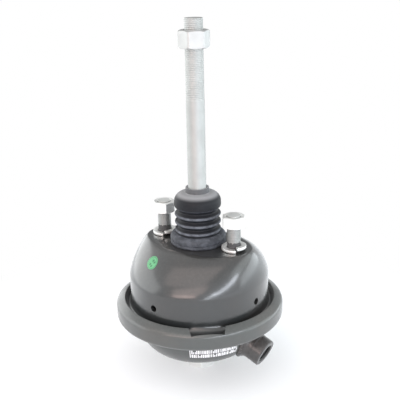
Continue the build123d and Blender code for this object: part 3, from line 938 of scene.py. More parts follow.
# --- non-pressure housing
@dataclass
class NonPressureHousing:
    """The pressed housing that carries the studs: an oval crown on a round wall."""

    wall: float = 3.2 * MM
    wall_radius: float = 63.0 * MM
    crown_length: float = 53.0 * MM
    crown_width: float = 30.0 * MM
    crown_drop: float = 29.0 * MM
    fullness: float = 1.39
    rod_hole: float = 16.5 * MM
    stud_pitch: float = 76.2 * MM
    stud_hole: float = 6.3 * MM
    floor: float = -56.8 * MM
    flange_floor: float = 65.8 * MM
    flange_rim: tuple[Pair, ...] = in_mm((67.3, -53.1), (72.7, -56.58))
    flange_bends: tuple[float, ...] = (1.6 * MM, 2.2 * MM, 0.9 * MM)
    notch_floor: tuple[Pair, ...] = in_mm((63.0, -57.3), (68.0, -57.0), (70.5, -56.8))
    notch_bends: tuple[float, ...] = (4.7 * MM, 0.5 * MM, 0.5 * MM)
    notch_angle: float = -49.2
    notch_full: float = 12.5
    notch_end: float = 16.0
    vent_radius: float = 3.0 * MM
    vent_height: float = -42.0 * MM
    vent_turn: float = -3.0
    vent_reach: Pair = (50.0, 72.0)
    segments: int = 160
    crown_steps: int = 44
    flat_shares: tuple[float, ...] = (0.0, 0.03, 0.3, 0.6, 0.85, 0.97)
    crown_spacing: float = 1.15
    label_centre: Oval = (-16.9, -45.8, -8.96)
    label_halves: Pair = (7.3 * MM, 5.2 * MM)
    label_lean: float = 135.7
    label_rows: int = 6
    label_sides: int = 40
    label_print_turn: float = 28.4
    label_proud: float = 0.12 * MM

    def crown_section(self, turn: float, inset: float) -> Oval:
        """Return the oval at a turn from 0 at the flat face to 90 degrees at the wall.

        Args:
            turn: The angle in radians.
            inset: How far the oval lies inside the outer surface.

        Returns:
            Half length, half width and height.
        """
        out = math.sin(turn) ** self.fullness
        down = 1 - max(math.cos(turn), 0.0) ** self.fullness
        outer = self.wall_radius - inset
        length = self.crown_length - inset
        width = self.crown_width - inset
        height = -inset - (self.crown_drop - inset) * down
        return length + (outer - length) * out, width + (outer - width) * out, height

    def crown_radius(self, angle: float, height: float) -> float:
        """Return the outer surface's distance from the axis at an angle and a height."""
        if height <= -self.crown_drop:
            return self.wall_radius
        down = -height / self.crown_drop
        turn = math.acos((1 - down) ** (1 / self.fullness))
        length, width, _ = self.crown_section(turn, 0.0)
        return 1 / math.hypot(math.cos(angle) / length, math.sin(angle) / width)

    def skin(self, inset: float) -> list[Oval]:
        """Return the ovals of one side of the crown, from the rod hole to the wall."""
        halves = (self.crown_length, self.crown_width)
        sections = []
        for share in self.flat_shares:
            length, width = (self.rod_hole + (half - inset - self.rod_hole) * share for half in halves)
            sections.append((length, width, -inset))
        for step in range(self.crown_steps + 1):
            turn = math.pi / 2 * (step / self.crown_steps) ** self.crown_spacing
            sections.append(self.crown_section(turn, inset))
        return sections

    def notch_share(self, angle: float) -> float:
        """Return how far the flange is pressed flat at an angle: 1 behind the ring's notch, else 0."""
        away = abs((math.degrees(angle) - self.notch_angle + 180) % 360 - 180)
        return eased((self.notch_end - away) / (self.notch_end - self.notch_full))

    def shell_mesh(self) -> Mesh:
        """Return the crown, the wall and the flange, which is pressed flat behind the ring's notch."""
        start = (self.wall_radius, -self.crown_drop - 1 * MM)
        foot = [(self.wall_radius, self.floor), (self.flange_floor, self.floor)]
        upper, lower = bent_sheet([start, *foot, *self.flange_rim], self.flange_bends, self.wall)
        pressed = rounded_path([start, *self.notch_floor, self.flange_rim[-1]], self.notch_bends)
        inside = [*self.skin(self.wall), *((r, r, z) for r, z in lower)]
        usual, flat = (
            [*self.skin(0.0), *((r, r, z) for r, z in path), *reversed(inside)] for path in (upper, pressed)
        )
        rings = []
        for round_here, flat_here in zip(usual, flat, strict=True):
            ring = []
            for turn in turns_of(self.segments):
                length, width, height = Vector(round_here).lerp(Vector(flat_here), self.notch_share(turn))
                ring.append(Vector((length * math.cos(turn), width * math.sin(turn), height)))
            rings.append(ring)
        return grid_mesh("housing_shell", rings, joined=True)

    def housing_mesh(self) -> Mesh:
        """Return the housing with its rod hole, stud holes and vents."""
        cutters = []
        level = Vector((0, 0, self.vent_height))
        for quarter in range(4):
            out = polar(math.radians(90 * quarter + self.vent_turn), 1.0)
            start, end = (out * reach * MM + level for reach in self.vent_reach)
            cutters.append(bar(start, end, self.vent_radius))
        for side in (-1, 1):
            foot = Vector((side * self.stud_pitch / 2, 0, -2 * self.wall))
            cutters.append(bar(foot, foot + Vector((0, 0, 3 * self.wall)), self.stud_hole))
        return carved(self.shell_mesh(), cutters)

    def label_axes(self, centre: Vector) -> tuple[Vector, Vector]:
        """Return the directions along and across the label, which leans from the level."""
        angle = math.atan2(centre.y, centre.x)
        level = Vector((-math.sin(angle), math.cos(angle), 0))
        tip = 0.2 * MM
        slope = self.crown_radius(angle, centre.z - tip) - self.crown_radius(angle, centre.z + tip)
        down = (polar(angle, 1.0) * slope - Vector((0, 0, 2 * tip))).normalized()
        turn = math.radians(self.label_lean)
        return math.cos(turn) * level - math.sin(turn) * down, math.sin(turn) * level + math.cos(turn) * down

    def label_mesh(self) -> Mesh:
        """Return an oval label that lies on the crown, with a flat map from -1 to 1 across it."""
        centre = Vector(self.label_centre) * MM
        along, across = self.label_axes(centre)
        print_turn = math.radians(self.label_print_turn)
        verts, flats = [], []
        for row in range(self.label_rows + 1):
            share = row / self.label_rows
            for turn in turns_of(self.label_sides):
                u, v = share * math.cos(turn), share * math.sin(turn)
                point = centre + along * (u * self.label_halves[0]) + across * (v * self.label_halves[1])
                height = min(point.z, -0.1 * MM)
                bearing = math.atan2(point.y, point.x)
                radius = self.crown_radius(bearing, height) + self.label_proud
                verts.append(tuple(polar(bearing, radius, height)))
                flats.append((share * math.cos(turn + print_turn), share * math.sin(turn + print_turn)))
        mesh = bpy.data.meshes.new("oval_label")
        mesh.from_pydata(verts, [], grid_faces(self.label_rows + 1, self.label_sides, joined=False))
        flat_map = mesh.uv_layers.new(name="flat")
        for loop in mesh.loops:
            flat_map.data[loop.index].uv = flats[loop.vertex_index]
        work = bmesh.new()
        work.from_mesh(mesh)
        bmesh.ops.recalc_face_normals(work, faces=work.faces)
        work.faces.ensure_lookup_table()
        outward = Vector((centre.x, centre.y, 0))
        if work.faces[len(work.faces) // 2].normal.dot(outward) < 0:
            bmesh.ops.reverse_faces(work, faces=work.faces)
        work.to_mesh(mesh)
        work.free()
        return mesh

    def build(self) -> None:
        """Build the housing and its label."""
        piece(self.housing_mesh(), Body.HOUSING, GLOSS_BLACK, 40.0, ["non_pressure_housing"])
        piece(self.label_mesh(), Body.HOUSING, LABEL_PAPER)
        dress("stud_plate", BARE_STEEL)


# --- lock ring
@dataclass
class LockRing:
    """The crimped ring that holds both flanges and the diaphragm's bead together."""

    radius: float = 76.3 * MM
    lip_radius: float = 68.5 * MM
    seam: float = -61.5 * MM
    band_half: float = 6.5 * MM
    lip_rise: float = 4.0 * MM
    wall: float = 3.0 * MM
    corner: float = 4.2 * MM
    notch_width: float = 31.0 * MM
    notch_taper: float = 1.6 * MM
    notch_bite: float = 1.1 * MM
    notch_angle: float = -49.2

    def notch_cutter(self) -> Mesh:
        """Return the block that cuts the notch into the upper lip."""
        half = self.notch_width / 2
        floor = self.seam + self.band_half - self.wall
        rise = Vector((0, 0, self.wall + 3 * self.lip_rise))
        outer = self.radius - self.wall + self.notch_bite
        inner = self.lip_radius - self.wall
        flat = [(inner, -half), (self.lip_radius, -half), (outer, self.notch_taper - half)]
        flat += [(x, -y) for x, y in reversed(flat)]
        lower = [Vector((x, y, floor)) for x, y in flat]
        cutter = grid_mesh("notch", [lower, [corner + rise for corner in lower]], joined=False)
        return placed(cutter, Matrix.Rotation(math.radians(self.notch_angle), 4, "Z"))

    def build(self) -> None:
        """Build the ring and cut its notch."""
        top, bottom = self.seam + self.band_half, self.seam - self.band_half
        corners = [
            (self.lip_radius, top + self.lip_rise),
            (self.radius, top),
            (self.radius, bottom),
            (self.lip_radius, bottom - self.lip_rise),
        ]
        sides = bent_sheet(corners, [self.corner] * 2, self.wall, 10)
        mesh = spun("crimped_lock_ring", sheet_outline(sides, 0.55 * MM), 192)
        piece(carved(mesh, [self.notch_cutter()]), Body.HOUSING, SATIN_GREY, 40.0, ["lock_ring"])


# --- pressure housing
@dataclass(frozen=True)
class Port:
    """A threaded boss on the dish: where it faces, how long it is and the weld round its foot."""

    name: str
    face: Vector
    outward: Vector
    reach: float
    length: float
    weld_radius: float
    weld_seed: int
    finish: Finish
    radius: float = 12.6 * MM
    bore: float = 7.2 * MM
    depth: float = 13.0 * MM
    passage: float = 4.5 * MM
    thread_pitch: float = 1.5 * MM
    thread_cut: float = 0.55 * MM
    weld_size: float = 2.6 * MM
    weld_waves: int = 26

    def mesh(self) -> Mesh:
        """Return the boss with a threaded bore that narrows to a passage, standing on the dish."""
        outside = [
            (self.bore + 1.3 * MM, 0.0),
            *points_from(self.radius, 0.0, (-0.8, 0.0), (0.0, -0.8), (0.0, -9.6), (0.3, -9.9), (0.0, -10.2)),
            *points_from(self.radius, -self.reach, (0.0, 4.5), (0.7, 2.2), (2.6, 0.0), (-2.7, -2.0)),
            (self.radius - 2.7 * MM, -self.length),
            (self.passage, -self.length),
        ]
        bore = [(self.passage, -self.depth), (self.bore, -self.depth)]
        level = -self.depth + 1.0 * MM
        while level < -2.8 * MM:
            bore += [(self.bore, level), (self.bore + self.thread_cut, level + 0.5 * self.thread_pitch)]
            level += self.thread_pitch
        bore.append((self.bore, -1.4 * MM))
        outline = [*softened(outside, 0.3 * MM, 60.0)[:-1], outside[-1], *bore]
        mesh = spun(f"{self.name}_boss", outline, 96)
        # Faces inside the bore take the second material, dark steel that is painted shade.
        for face in mesh.polygons:
            inside = math.hypot(face.center.x, face.center.y) < self.bore + 1.2 * MM
            face.material_index = int(inside and face.center.z < -0.1 * MM)
        turn = Vector((0, 0, 1)).rotation_difference(self.outward)
        return placed(mesh, Matrix.Translation(self.face) @ turn.to_matrix().to_4x4())


@dataclass
class PressureHousing:
    """The dish that holds the air, with a side inlet and a plugged rear port."""

    wall: float = 3.0 * MM
    radius: float = 57.0 * MM
    bottom: float = -102.0 * MM
    corner: float = 25.0 * MM
    floor: float = -66.0 * MM
    flange: tuple[Pair, ...] = in_mm((72.7, -66.42), (67.4, -69.14), (65.8, -66.0))
    bends: tuple[float, ...] = (0.9 * MM, 0.8 * MM, 1.8 * MM)
    rear_hole: float = 9.65 * MM
    inlet_face: Vector = field(default_factory=lambda: Vector((70.6, 0.0, -92.8)) * MM)
    inlet_tilt: float = 22.5
    inlet_hole: float = 9.6 * MM
    inlet_hole_depth: float = 34.0
    rear_height: float = 13.5 * MM
    stamp_proud: float = 0.06 * MM
    stamp_angles: Pair = (-62.4, -20.6)
    stamp_heights: Pair = (-79.4 * MM, -87.6 * MM)
    plug_flats: float = 22.0 * MM
    plug_height: float = 8.0 * MM
    plug_shank: float = 7.0 * MM

    def dish_depth(self, point: Vector) -> float:
        """Return how far a point is outside the dish's surface, negative inside."""
        radius = math.hypot(point.x, point.y)
        if point.z > self.bottom + self.corner:
            return radius - self.radius
        if radius < self.radius - self.corner:
            return self.bottom - point.z
        centre = (self.radius - self.corner, self.bottom + self.corner)
        return math.hypot(radius - centre[0], point.z - centre[1]) - self.corner

    def dish_mesh(self) -> Mesh:
        """Return the pressed dish with the hole for its rear port."""
        wall = [(self.radius, self.floor), (self.radius, self.bottom), (self.rear_hole, self.bottom)]
        sides = bent_sheet([*self.flange, *wall], [*self.bends, self.corner], self.wall, 14)
        return spun("pressure_dish", sheet_outline(sides, 0.3 * MM), 160)

    def weld_spot(self, outer: Vector, outward: Vector) -> Vector:
        """Return where a line from a point outside the dish meets its surface."""
        near, far = outer, outer - outward * 40 * MM
        if self.dish_depth(far) > 0:
            far = far - outward * 20 * MM
        for _ in range(40):
            middle = (near + far) / 2
            if self.dish_depth(middle) > 0:
                near = middle
            else:
                far = middle
        return near

    def weld_mesh(self, port: Port) -> Mesh:
        """Return the lumpy weld bead where a port meets the dish, as a closed ring."""
        side = port.outward.orthogonal().normalized()
        up = port.outward.cross(side)
        rings = []
        for turn in turns_of(120):
            spoke = math.cos(turn) * side + math.sin(turn) * up
            spot = self.weld_spot(port.face + spoke * port.weld_radius, port.outward)
            ripple = noise.noise(Vector((math.cos(turn), math.sin(turn), port.weld_seed)) * 3.2)
            scale = port.weld_size * (1 + 0.12 * math.sin(port.weld_waves * turn) + 0.35 * ripple)
            ring = []
            for angle in turns_of(10):
                ring.append(spot + scale * (math.cos(angle) * spoke + 0.85 * math.sin(angle) * port.outward))
            rings.append(ring)
        return grid_mesh(f"{port.name}_weld", rings, joined=True)

    def stamp_point(self, degrees: float, height: float) -> tuple[float, ...]:
        """Return a point just proud of the dish."""
        radius = self.radius + self.stamp_proud
        drop = self.bottom + self.corner - height
        if drop > 0:
            radius = self.radius - self.corner + math.sqrt((self.corner + self.stamp_proud) ** 2 - drop**2)
        bearing = math.radians(degrees)
        return radius * math.cos(bearing), radius * math.sin(bearing), height

    def stamp_mesh(self) -> Mesh:
        """Return a plain stamped marking: two rows of short upright strokes round the dish."""
        (start, end), (upper, lower) = self.stamp_angles, self.stamp_heights
        middle, gap, rows = (upper + lower) / 2, 0.35 * MM, 5
        rng = random.Random(7)
        strokes: list[tuple[float, float, float, float]] = []
        for high, low in ((upper, middle + gap), (middle - gap, lower)):
            angle = start
            while angle < end - 1.0:
                width = rng.choice((0.8, 1.0, 1.5))
                cut = rng.choice((0.0, 0.0, 0.35)) * (high - low)
                strokes.append((angle, angle + width, high - (cut if rng.random() < 0.5 else 0), low))
                angle += width + rng.choice((0.45, 0.55, 0.8))
        strokes += [(start - 1.6, start - 0.8, upper, lower), (end, end + 0.8, upper, lower)]
        verts, faces = [], []
        for first, last, high, low in strokes:
            base = len(verts)
            for row in range(rows):
                height = high + (low - high) * row / (rows - 1)
                verts += [self.stamp_point(degrees, height) for degrees in (first, last)]
            faces += [(at, at + 2, at + 3, at + 1) for at in range(base, base + 2 * rows - 2, 2)]
        mesh = bpy.data.meshes.new("stamped_marking")
        mesh.from_pydata(verts, [], faces)
        return mesh

    def build(self) -> None:
        """Build the dish, both ports, their welds, the plug and its seal."""
        tilt = math.radians(self.inlet_tilt)
        axis, down = Vector((math.cos(tilt), 0, -math.sin(tilt))), Vector((0, 0, -1))
        rear_face = Vector((0, 0, self.bottom - self.rear_height))
        ports = (
            Port("inlet", self.inlet_face, axis, 17.4 * MM, 20.0 * MM, 13.9 * MM, 3, PORT_GREY),
            Port("rear", rear_face, down, 12.6 * MM, 16.0 * MM, 13.2 * MM, 8, SATIN_GREY),
        )
        inner = self.inlet_face - axis * self.inlet_hole_depth * MM
        opening = bar(inner, self.inlet_face, self.inlet_hole)
        piece(carved(self.dish_mesh(), [opening]), Body.HOUSING, SATIN_GREY, 40.0, ["pressure_housing"])
        for port in ports:
            boss = piece(port.mesh(), Body.HOUSING, port.finish, 40.0, [f"{port.name}_port"])
            boss.data.materials.append(SHADED_BORE_STEEL.material())
        for port in ports:
            piece(self.weld_mesh(port), Body.HOUSING, port.finish, 60.0)
        piece(self.stamp_mesh(), Body.HOUSING, WHITE_INK)
        head = rear_face.z - 1.5 * MM
        plug = Hexagon(self.plug_flats, head - self.plug_height, head, bore=0.0, turn=6.0)
        shank = turned("plug_shank", points_from(self.plug_shank, head, (0.0, 0.0), (0.0, 11.0)), 48)
        whole = merged("hexagon_port_plug", [plug.mesh("plug_head"), shank])
        piece(whole, Body.HOUSING, LIGHTENED_BRIGHT_ZINC, 30.0, ["port_plug"])
        dress("port_seal", SOFT_COPPER)


# --- studs
@dataclass
class MountingStuds:
    """Two studs with their spring washers and nuts."""

    pitch: float = 76.2 * MM
    radius: float = 6.0 * MM
    thread_depth: float = 0.25 * MM
    top: float = 32.0 * MM
    foot: float = -7.2 * MM
    head_radius: float = 8.5 * MM
    head_height: float = 3.5 * MM
    nut_top: float = 31.4 * MM
    nut_height: float = 10.0 * MM
    nut_flats: float = 19.0 * MM
    nut_bore: float = 6.05 * MM
    washer_inner: float = 6.3 * MM
    washer_outer: float = 10.8 * MM
    washer_thickness: float = 2.5 * MM
    washer_rise: float = 2.3 * MM
    washer_reach: float = 352.0
    washer_steps: int = 96

    def stud_mesh(self, name: str) -> Mesh:
        """Return a stud on the Z axis, with its head under the plate."""
        thread = Thread(self.radius, self.thread_depth, 1.0 * MM, self.top).mesh()
        neck = turned("neck", [(self.radius, self.foot), (self.radius, 1.2 * MM)])
        low = self.foot - self.head_height
        edge = points_from(self.head_radius, low, (-0.6, 0.0), (0.0, 0.6))
        head = turned("head", [*edge, (self.head_radius, self.foot)])
        return merged(name, [thread, neck, head])

    def washer_mesh(self, name: str, split: float) -> Mesh:
        """Return a spring washer whose cut stands at an angle, in degrees, about Z."""
        rings = []
        half = self.washer_thickness / 2
        for step in range(self.washer_steps + 1):
            share = step / self.washer_steps
            level = half + 0.15 * MM + self.washer_rise * share
            corners = [
                (self.washer_inner, level - half),
                (self.washer_outer, level - half),
                (self.washer_outer, level + half),
                (self.washer_inner, level + half),
            ]
            angle = math.radians(split - self.washer_reach * share)
            rings.append(section_at(softened(corners, 0.25 * MM, steps=2), angle))
        return grid_mesh(name, rings, joined=False)

    def build(self) -> None:
        """Build both sides, each piece under a name of its own."""
        sides = (("left", -1, 16.5, -62.0, STUD_ZINC), ("right", 1, 3.0, -49.0, LOW_STUD_ZINC))
        for side, sign, nut_turn, split, finish in sides:
            place = Matrix.Translation((sign * self.pitch / 2, 0, 0))
            nut = Hexagon(
                self.nut_flats, self.nut_top - self.nut_height, self.nut_top, self.nut_bore, nut_turn
            )
            parts = (
                (self.stud_mesh(f"{side}_stud"), finish, 50.0, "mounting_stud"),
                (self.washer_mesh(f"{side}_split_washer", split), LIGHTENED_BRIGHT_ZINC, 35.0, "spring_washer"),
                (nut.mesh(f"{side}_nut"), LIGHTENED_BRIGHT_ZINC, 30.0, "stud_nut"),
            )
            for mesh, coat, smooth, node in parts:
                piece(placed(mesh, place), Body.HOUSING, coat, smooth, [f"{side}_{node}"])


# --- push rod
@dataclass
class PushRod:
    """The threaded rod, its lock nut and the plate that the diaphragm pushes."""

    radius: float = 8.0 * MM
    flange_radius: float = 12.5 * MM
    thread_radius: float = 7.9 * MM
    thread_depth: float = 0.3 * MM
    thread_bottom: float = 127.5 * MM
    tip: float = 195.5 * MM
    foot: float = -95.2 * MM
    nut_top: float = 186.0 * MM
    nut_height: float = 14.8 * MM
    nut_flats: float = 24.0 * MM
    nut_bore: float = 7.95 * MM
    nut_turn: float = 45.7

    def build(self) -> None:
        """Build the rod and its nut, and dress the plate."""
        shank = [
            *points_from(self.radius, self.foot, (0.0, 0.0), (0.0, 2.9)),
            *points_from(self.flange_radius, self.foot, (-0.4, 3.0), (0.0, 3.4), (0.0, 6.6), (-0.4, 7.0)),
            *points_from(self.radius, self.foot, (0.8, 7.0), (0.0, 7.8)),
            (self.radius, self.thread_bottom - 0.4 * MM),
            *points_from(self.thread_radius, self.thread_bottom, (0.0, 0.2), (0.0, 0.6)),
        ]
        thread = Thread(self.thread_radius, self.thread_depth, self.thread_bottom, self.tip, segments=64)
        rod = merged("threaded_push_rod", [turned("shank", shank, 96), thread.mesh()])
        piece(rod, Body.ROD, SATIN_ZINC, 50.0, ["push_rod"])
        nut = Hexagon(
            self.nut_flats, self.nut_top - self.nut_height, self.nut_top, self.nut_bore, self.nut_turn
        )
        piece(nut.mesh("rod_lock_nut"), Body.ROD, DIMMED_ROD_NUT_ZINC, 30.0, ["rod_nut"])
        dress("push_plate", BARE_STEEL)


# --- inside
@dataclass
class Inside:
    """The diaphragm and the return spring, built at rest; in the real chamber they bend and shorten with the
    rod.
    """

    seam: float = -61.5 * MM
    thickness: float = 3.0 * MM
    rim_radius: float = 71.4 * MM
    side_radius: float = 53.5 * MM
    floor: float = -98.5 * MM
    bends: tuple[float, ...] = (5.3 * MM, 21.5 * MM)
    wire: float = 2.0 * MM
    spring_top: Pair = (24.0 * MM, -9.3 * MM)
    spring_bottom: Pair = (33.0 * MM, -89.85 * MM)
    turns: float = 5.5
    closed_turns: float = 1.5
    steps: int = 360

    def diaphragm_mesh(self) -> Mesh:
        """Return the diaphragm at rest against the dish."""
        level = self.seam - self.thickness / 2
        corners = [
            (self.rim_radius, level),
            (self.side_radius, level),
            (self.side_radius, self.floor),
            (0.0, self.floor),
        ]
        near, far = bent_sheet(corners, self.bends, self.thickness, 12)
        return spun("rubber_diaphragm", [*near, *reversed(far)], 96)

    def spring_mesh(self) -> Mesh:
        """Return the conical spring, its end coils closed and flat."""
        ends = tuple(zip(self.spring_bottom, self.spring_top))
        centres = []
        for step in range(self.steps + 1):
            turn = step / self.steps * (self.turns + self.closed_turns)
            climb = clamped((turn - self.closed_turns / 2) / self.turns)
            smooth = eased(climb) * 0.35 + climb * 0.65
            radius, height = (low + (high - low) * smooth for low, high in ends)
            centres.append(polar(2 * math.pi * turn, radius, height))
        return tube("conical_return_spring", centres, self.wire)

    def build(self) -> None:
        """Build both pieces and bake their placement into their meshes."""
        sheet = piece(self.diaphragm_mesh(), None, SHEET_RUBBER, 50.0, ["diaphragm"])
        spring = piece(self.spring_mesh(), None, BARE_STEEL, 50.0, ["return_spring"])
        follow_rod(sheet)
        follow_rod(spring)


# --- dust boot
@dataclass
class DustBoot:
    """The bellows that keeps dirt off the rod: a foot bead, folds, a shoulder and a collar."""

    wall: float = 1.5 * MM
    height: float = 51.0 * MM
    foot_radius: float = 25.0 * MM
    foot_height: float = 9.2 * MM
    foot_bends: tuple[float, ...] = (0.8, 0.5, 0.3, 0.8, 4.2, 0.8)
    fold_count: int = 3
    fold_pitch: float = 7.2 * MM
    fold_bends: tuple[float, ...] = (1.3, 1.4)
    crest: float = 21.4 * MM
    groove: float = 16.8 * MM
    shoulder: float = 20.8 * MM
    shoulder_height: float = 45.8 * MM
    top_bends: tuple[float, ...] = (2.5, 8.0, 0.9)
    collar: float = 10.5 * MM
    rod_radius: float = 8.05 * MM
    inside_from: float = 4.6 * MM
    socket: tuple[Pair, ...] = in_mm((17.0, 3.2), (17.0, 1.75), (20.2, 1.75), (20.2, 0.05))

    def outside(self) -> list[Pair]:
        """Return the outer path, from foot to collar."""
        bead = ((-0.6, 0.0), (0.0, 0.9), (0.0, 2.4), (-0.9, 3.1), (0.0, 3.8))
        corners = points_from(self.foot_radius, 0.0, *bead)
        corners.append((self.foot_radius, self.foot_height))
        corners += points_from(self.groove, self.foot_height, (1.0, 0.6))
        for fold in range(self.fold_count):
            level = self.foot_height + (fold + 0.45) * self.fold_pitch
            corners += [(self.crest, level), (self.groove, level + self.fold_pitch / 2)]
        corners.append((self.shoulder, corners[-1][1] + self.fold_pitch / 2))
        corners.append((self.shoulder, self.shoulder_height))
        corners += [(self.collar, self.shoulder_height + 0.6 * MM), (self.collar, self.height)]
        bends = (*self.foot_bends, *self.fold_bends * self.fold_count, *self.top_bends)
        return rounded_path(corners, [bend * MM for bend in bends], 9)

    def build(self) -> None:
        """Build the boot, bake its placement into its mesh, and dress the retainer."""
        outside = self.outside()[:-1]
        inside = []
        for radius, height in beside(outside, -self.wall):
            if radius > self.rod_radius + 1e-6 and height > self.inside_from:
                inside.append((radius, height))
        lip = points_from(self.collar, self.height, (-0.2, 0.0), (-0.9, -0.05))
        lip += points_from(self.rod_radius, self.height, (0.5, -0.1), (0.0, -0.7))
        lip.append((self.rod_radius, self.shoulder_height - 1.0 * MM))
        mesh = spun("dust_bellows", [*outside, *lip, *reversed(inside), *self.socket], 128)
        heights = mesh.attributes.new(REST_HEIGHT, "FLOAT", "POINT")
        heights.data.foreach_set("value", [vertex.co.z for vertex in mesh.vertices])
        boot = piece(mesh, None, BOOT_RUBBER, 60.0, ["dust_boot"])
        follow_rod(boot)
        dress("boot_retainer", BARE_STEEL)


# --- studio
@dataclass(frozen=True)
class SoftPanel:
    """One soft light panel, placed by its bearing from the camera and its rise above level."""

    name: str
    bearing: float
    rise: float
    distance: float
    size: Pair
    brightness: float
    colour: Colour
    spin: float = 0.0


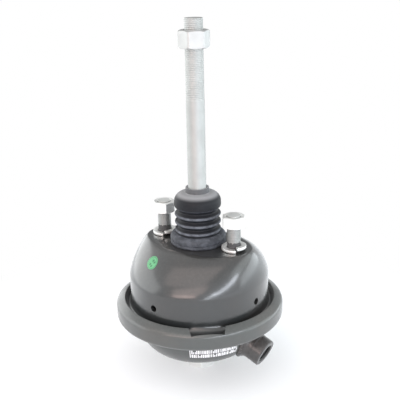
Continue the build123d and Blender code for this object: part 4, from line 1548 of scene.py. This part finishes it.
@dataclass
class Studio:
    """A pale floor, soft light and the camera."""

    floor_level: float = -125.0 * MM
    floor_half: float = 3.0
    floor_fade: Pair = (0.15, 0.34)
    azimuth: float = 36.0
    distance: float = 600.0 * MM
    camera_side: float = 0.45 * MM
    camera_height: float = 241.3 * MM
    pitch: float = 0.32584
    roll: float = 0.0216
    yaw: float = 0.00297
    lens: float = 64.46
    rear_bearing: float = 180.0
    rear_rise: float = 28.0
    rear_edge: Pair = (0.84, 0.93)
    rear_dim: float = 0.38
    panels: tuple[SoftPanel, ...] = (
        SoftPanel("left_panel", -115.0, 12.0, 1.3, (2.4, 1.2), 1.7, (0.98, 1.0, 1.0)),
        SoftPanel("warm_band", -25.0, 14.0, 1.2, (0.72, 0.24), 4.6, (1.0, 0.75, 0.69)),
        SoftPanel("warm_middle", -20.0, 29.0, 1.2, (1.0, 0.36), 1.9, (1.0, 0.79, 0.73)),
        SoftPanel("warm_upper", -35.0, 58.0, 1.2, (1.3, 0.75), 1.05, (1.0, 0.84, 0.79)),
        SoftPanel("streak_strip", 38.0, 12.5, 1.2, (0.8, 0.17), 9.8, (0.86, 0.91, 1.0), 15.0),
        SoftPanel("streak_foot", 14.0, 3.0, 1.2, (0.5, 0.14), 7.5, (0.88, 0.93, 1.0), 50.0),
        SoftPanel("right_panel", 98.0, 4.0, 1.3, (1.8, 0.36), 2.7, (0.88, 0.96, 1.0)),
        SoftPanel("right_upper_panel", 80.0, 27.0, 1.3, (1.6, 0.56), 1.35, (0.9, 1.0, 1.0)),
    )

    def heading(self, bearing: float, rise: float) -> Vector:
        """Return the direction at a bearing from the camera and a rise above level, in degrees."""
        turn, lift = math.radians(self.azimuth + bearing), math.radians(rise)
        return Vector((math.sin(turn) * math.cos(lift), -math.cos(turn) * math.cos(lift), math.sin(lift)))

    def floor(self) -> None:
        """Lay a pale floor that turns into the white background away from the chamber."""
        signs = ((-1, -1), (1, -1), (1, 1), (-1, 1))
        corners = [(x * self.floor_half, y * self.floor_half, self.floor_level) for x, y in signs]
        mesh = bpy.data.meshes.new("studio_floor")
        mesh.from_pydata(corners, [], [(0, 1, 2, 3)])
        thing = linked("studio_floor", mesh)
        made = bpy.data.materials.new("pale studio floor")
        sketch = Sketch.fresh(made)
        paper = {"Base Color": (0.86, 0.88, 0.9), "Roughness": 0.9}
        shader = sketch.add("ShaderNodeBsdfPrincipled", paper).outputs[0]
        away = sketch.add("ShaderNodeVectorMath", {0: sketch.place()}, operation="LENGTH")
        fade = sketch.ramp(away.outputs["Value"], *self.floor_fade, to=(0.25, 1.0))
        seen = sketch.add("ShaderNodeLightPath").outputs["Is Camera Ray"]
        glow = sketch.add("ShaderNodeEmission").outputs[0]
        blend = {0: sketch.math("MULTIPLY", fade, seen), 1: shader, 2: glow}
        above = sketch.add("ShaderNodeMixShader", blend).outputs[0]
        back = sketch.add("ShaderNodeNewGeometry").outputs["Backfacing"]
        clear = sketch.add("ShaderNodeBsdfTransparent").outputs[0]
        below = sketch.add("ShaderNodeMixShader", {0: back, 1: above, 2: clear})
        sketch.add("ShaderNodeOutputMaterial", {"Surface": below.outputs[0]})
        mesh.materials.append(made)

    def world(self) -> None:
        """Light the room evenly, dimmer behind, and show plain white behind the chamber."""
        room = bpy.data.worlds.new("studio")
        bpy.context.scene.world = room
        sketch = Sketch.fresh(room)
        towards = sketch.add("ShaderNodeTexCoord").outputs["Generated"]
        rear = {0: towards, 1: self.heading(self.rear_bearing, self.rear_rise)}
        share = sketch.add("ShaderNodeVectorMath", rear, operation="DOT_PRODUCT").outputs["Value"]
        shade = sketch.ramp(share, *self.rear_edge, to=(1.0, self.rear_dim))
        around = sketch.add("ShaderNodeBackground", {"Color": (0.97, 0.99, 1.0), "Strength": shade})
        plain = sketch.add("ShaderNodeBackground", {"Color": (1.0, 1.0, 1.0)})
        seen = sketch.add("ShaderNodeLightPath").outputs["Is Camera Ray"]
        blend = {0: seen, 1: around.outputs[0], 2: plain.outputs[0]}
        surface = sketch.add("ShaderNodeMixShader", blend).outputs[0]
        sketch.add("ShaderNodeOutputWorld", {"Surface": surface})

    def hang(self, panel: SoftPanel) -> None:
        """Hang one soft panel where it faces the chamber."""
        middle = Vector((0, 0, -0.02))
        out = self.heading(panel.bearing, panel.rise)
        light = bpy.data.lights.new(panel.name, "AREA")
        light.shape = "RECTANGLE"
        light.size, light.size_y = panel.size
        light.energy = panel.brightness * math.pi * panel.size[0] * panel.size[1]
        light.color = panel.colour
        thing = linked(panel.name, light)
        face = (-out).to_track_quat("-Z", "Y").to_matrix().to_4x4()
        spin = Matrix.Rotation(math.radians(panel.spin), 4, "Z")
        thing.matrix_world = Matrix.Translation(middle + out * panel.distance) @ face @ spin

    def camera(self) -> None:
        """Set the camera where the view is taken from."""
        ahead = math.cos(self.pitch)
        forward = Vector((math.sin(self.yaw) * ahead, math.cos(self.yaw) * ahead, -math.sin(self.pitch)))
        right = Vector((math.cos(self.yaw), -math.sin(self.yaw), 0))
        down = forward.cross(right)
        tilted = math.cos(self.roll) * right + math.sin(self.roll) * down
        low = -math.sin(self.roll) * right + math.cos(self.roll) * down
        turn = Matrix.Rotation(math.radians(self.azimuth), 3, "Z")
        axes = Matrix((turn @ tilted, turn @ -low, turn @ -forward)).transposed()
        lens = bpy.data.cameras.new("camera")
        lens.lens = self.lens
        lens.sensor_width = 36.0
        thing = linked("camera", lens)
        stand = turn @ Vector((self.camera_side, -self.distance, self.camera_height))
        thing.matrix_world = Matrix.Translation(stand) @ axes.to_4x4()
        bpy.context.scene.camera = thing

    def build(self) -> None:
        """Set up floor, light, camera and view."""
        self.floor()
        self.world()
        for panel in self.panels:
            self.hang(panel)
        self.camera()
        bpy.context.scene.view_settings.view_transform = "Standard"


def main() -> None:
    """Build the chamber, sub-assembly by sub-assembly, and the studio round it."""
    logging.basicConfig(level=logging.INFO, format="%(name)s: %(message)s")
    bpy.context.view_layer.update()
    kinds = (NonPressureHousing, LockRing, PressureHousing, MountingStuds, PushRod, Inside, DustBoot, Studio)
    for kind in kinds:
        kind().build()


if __name__ == "__main__":
    main()
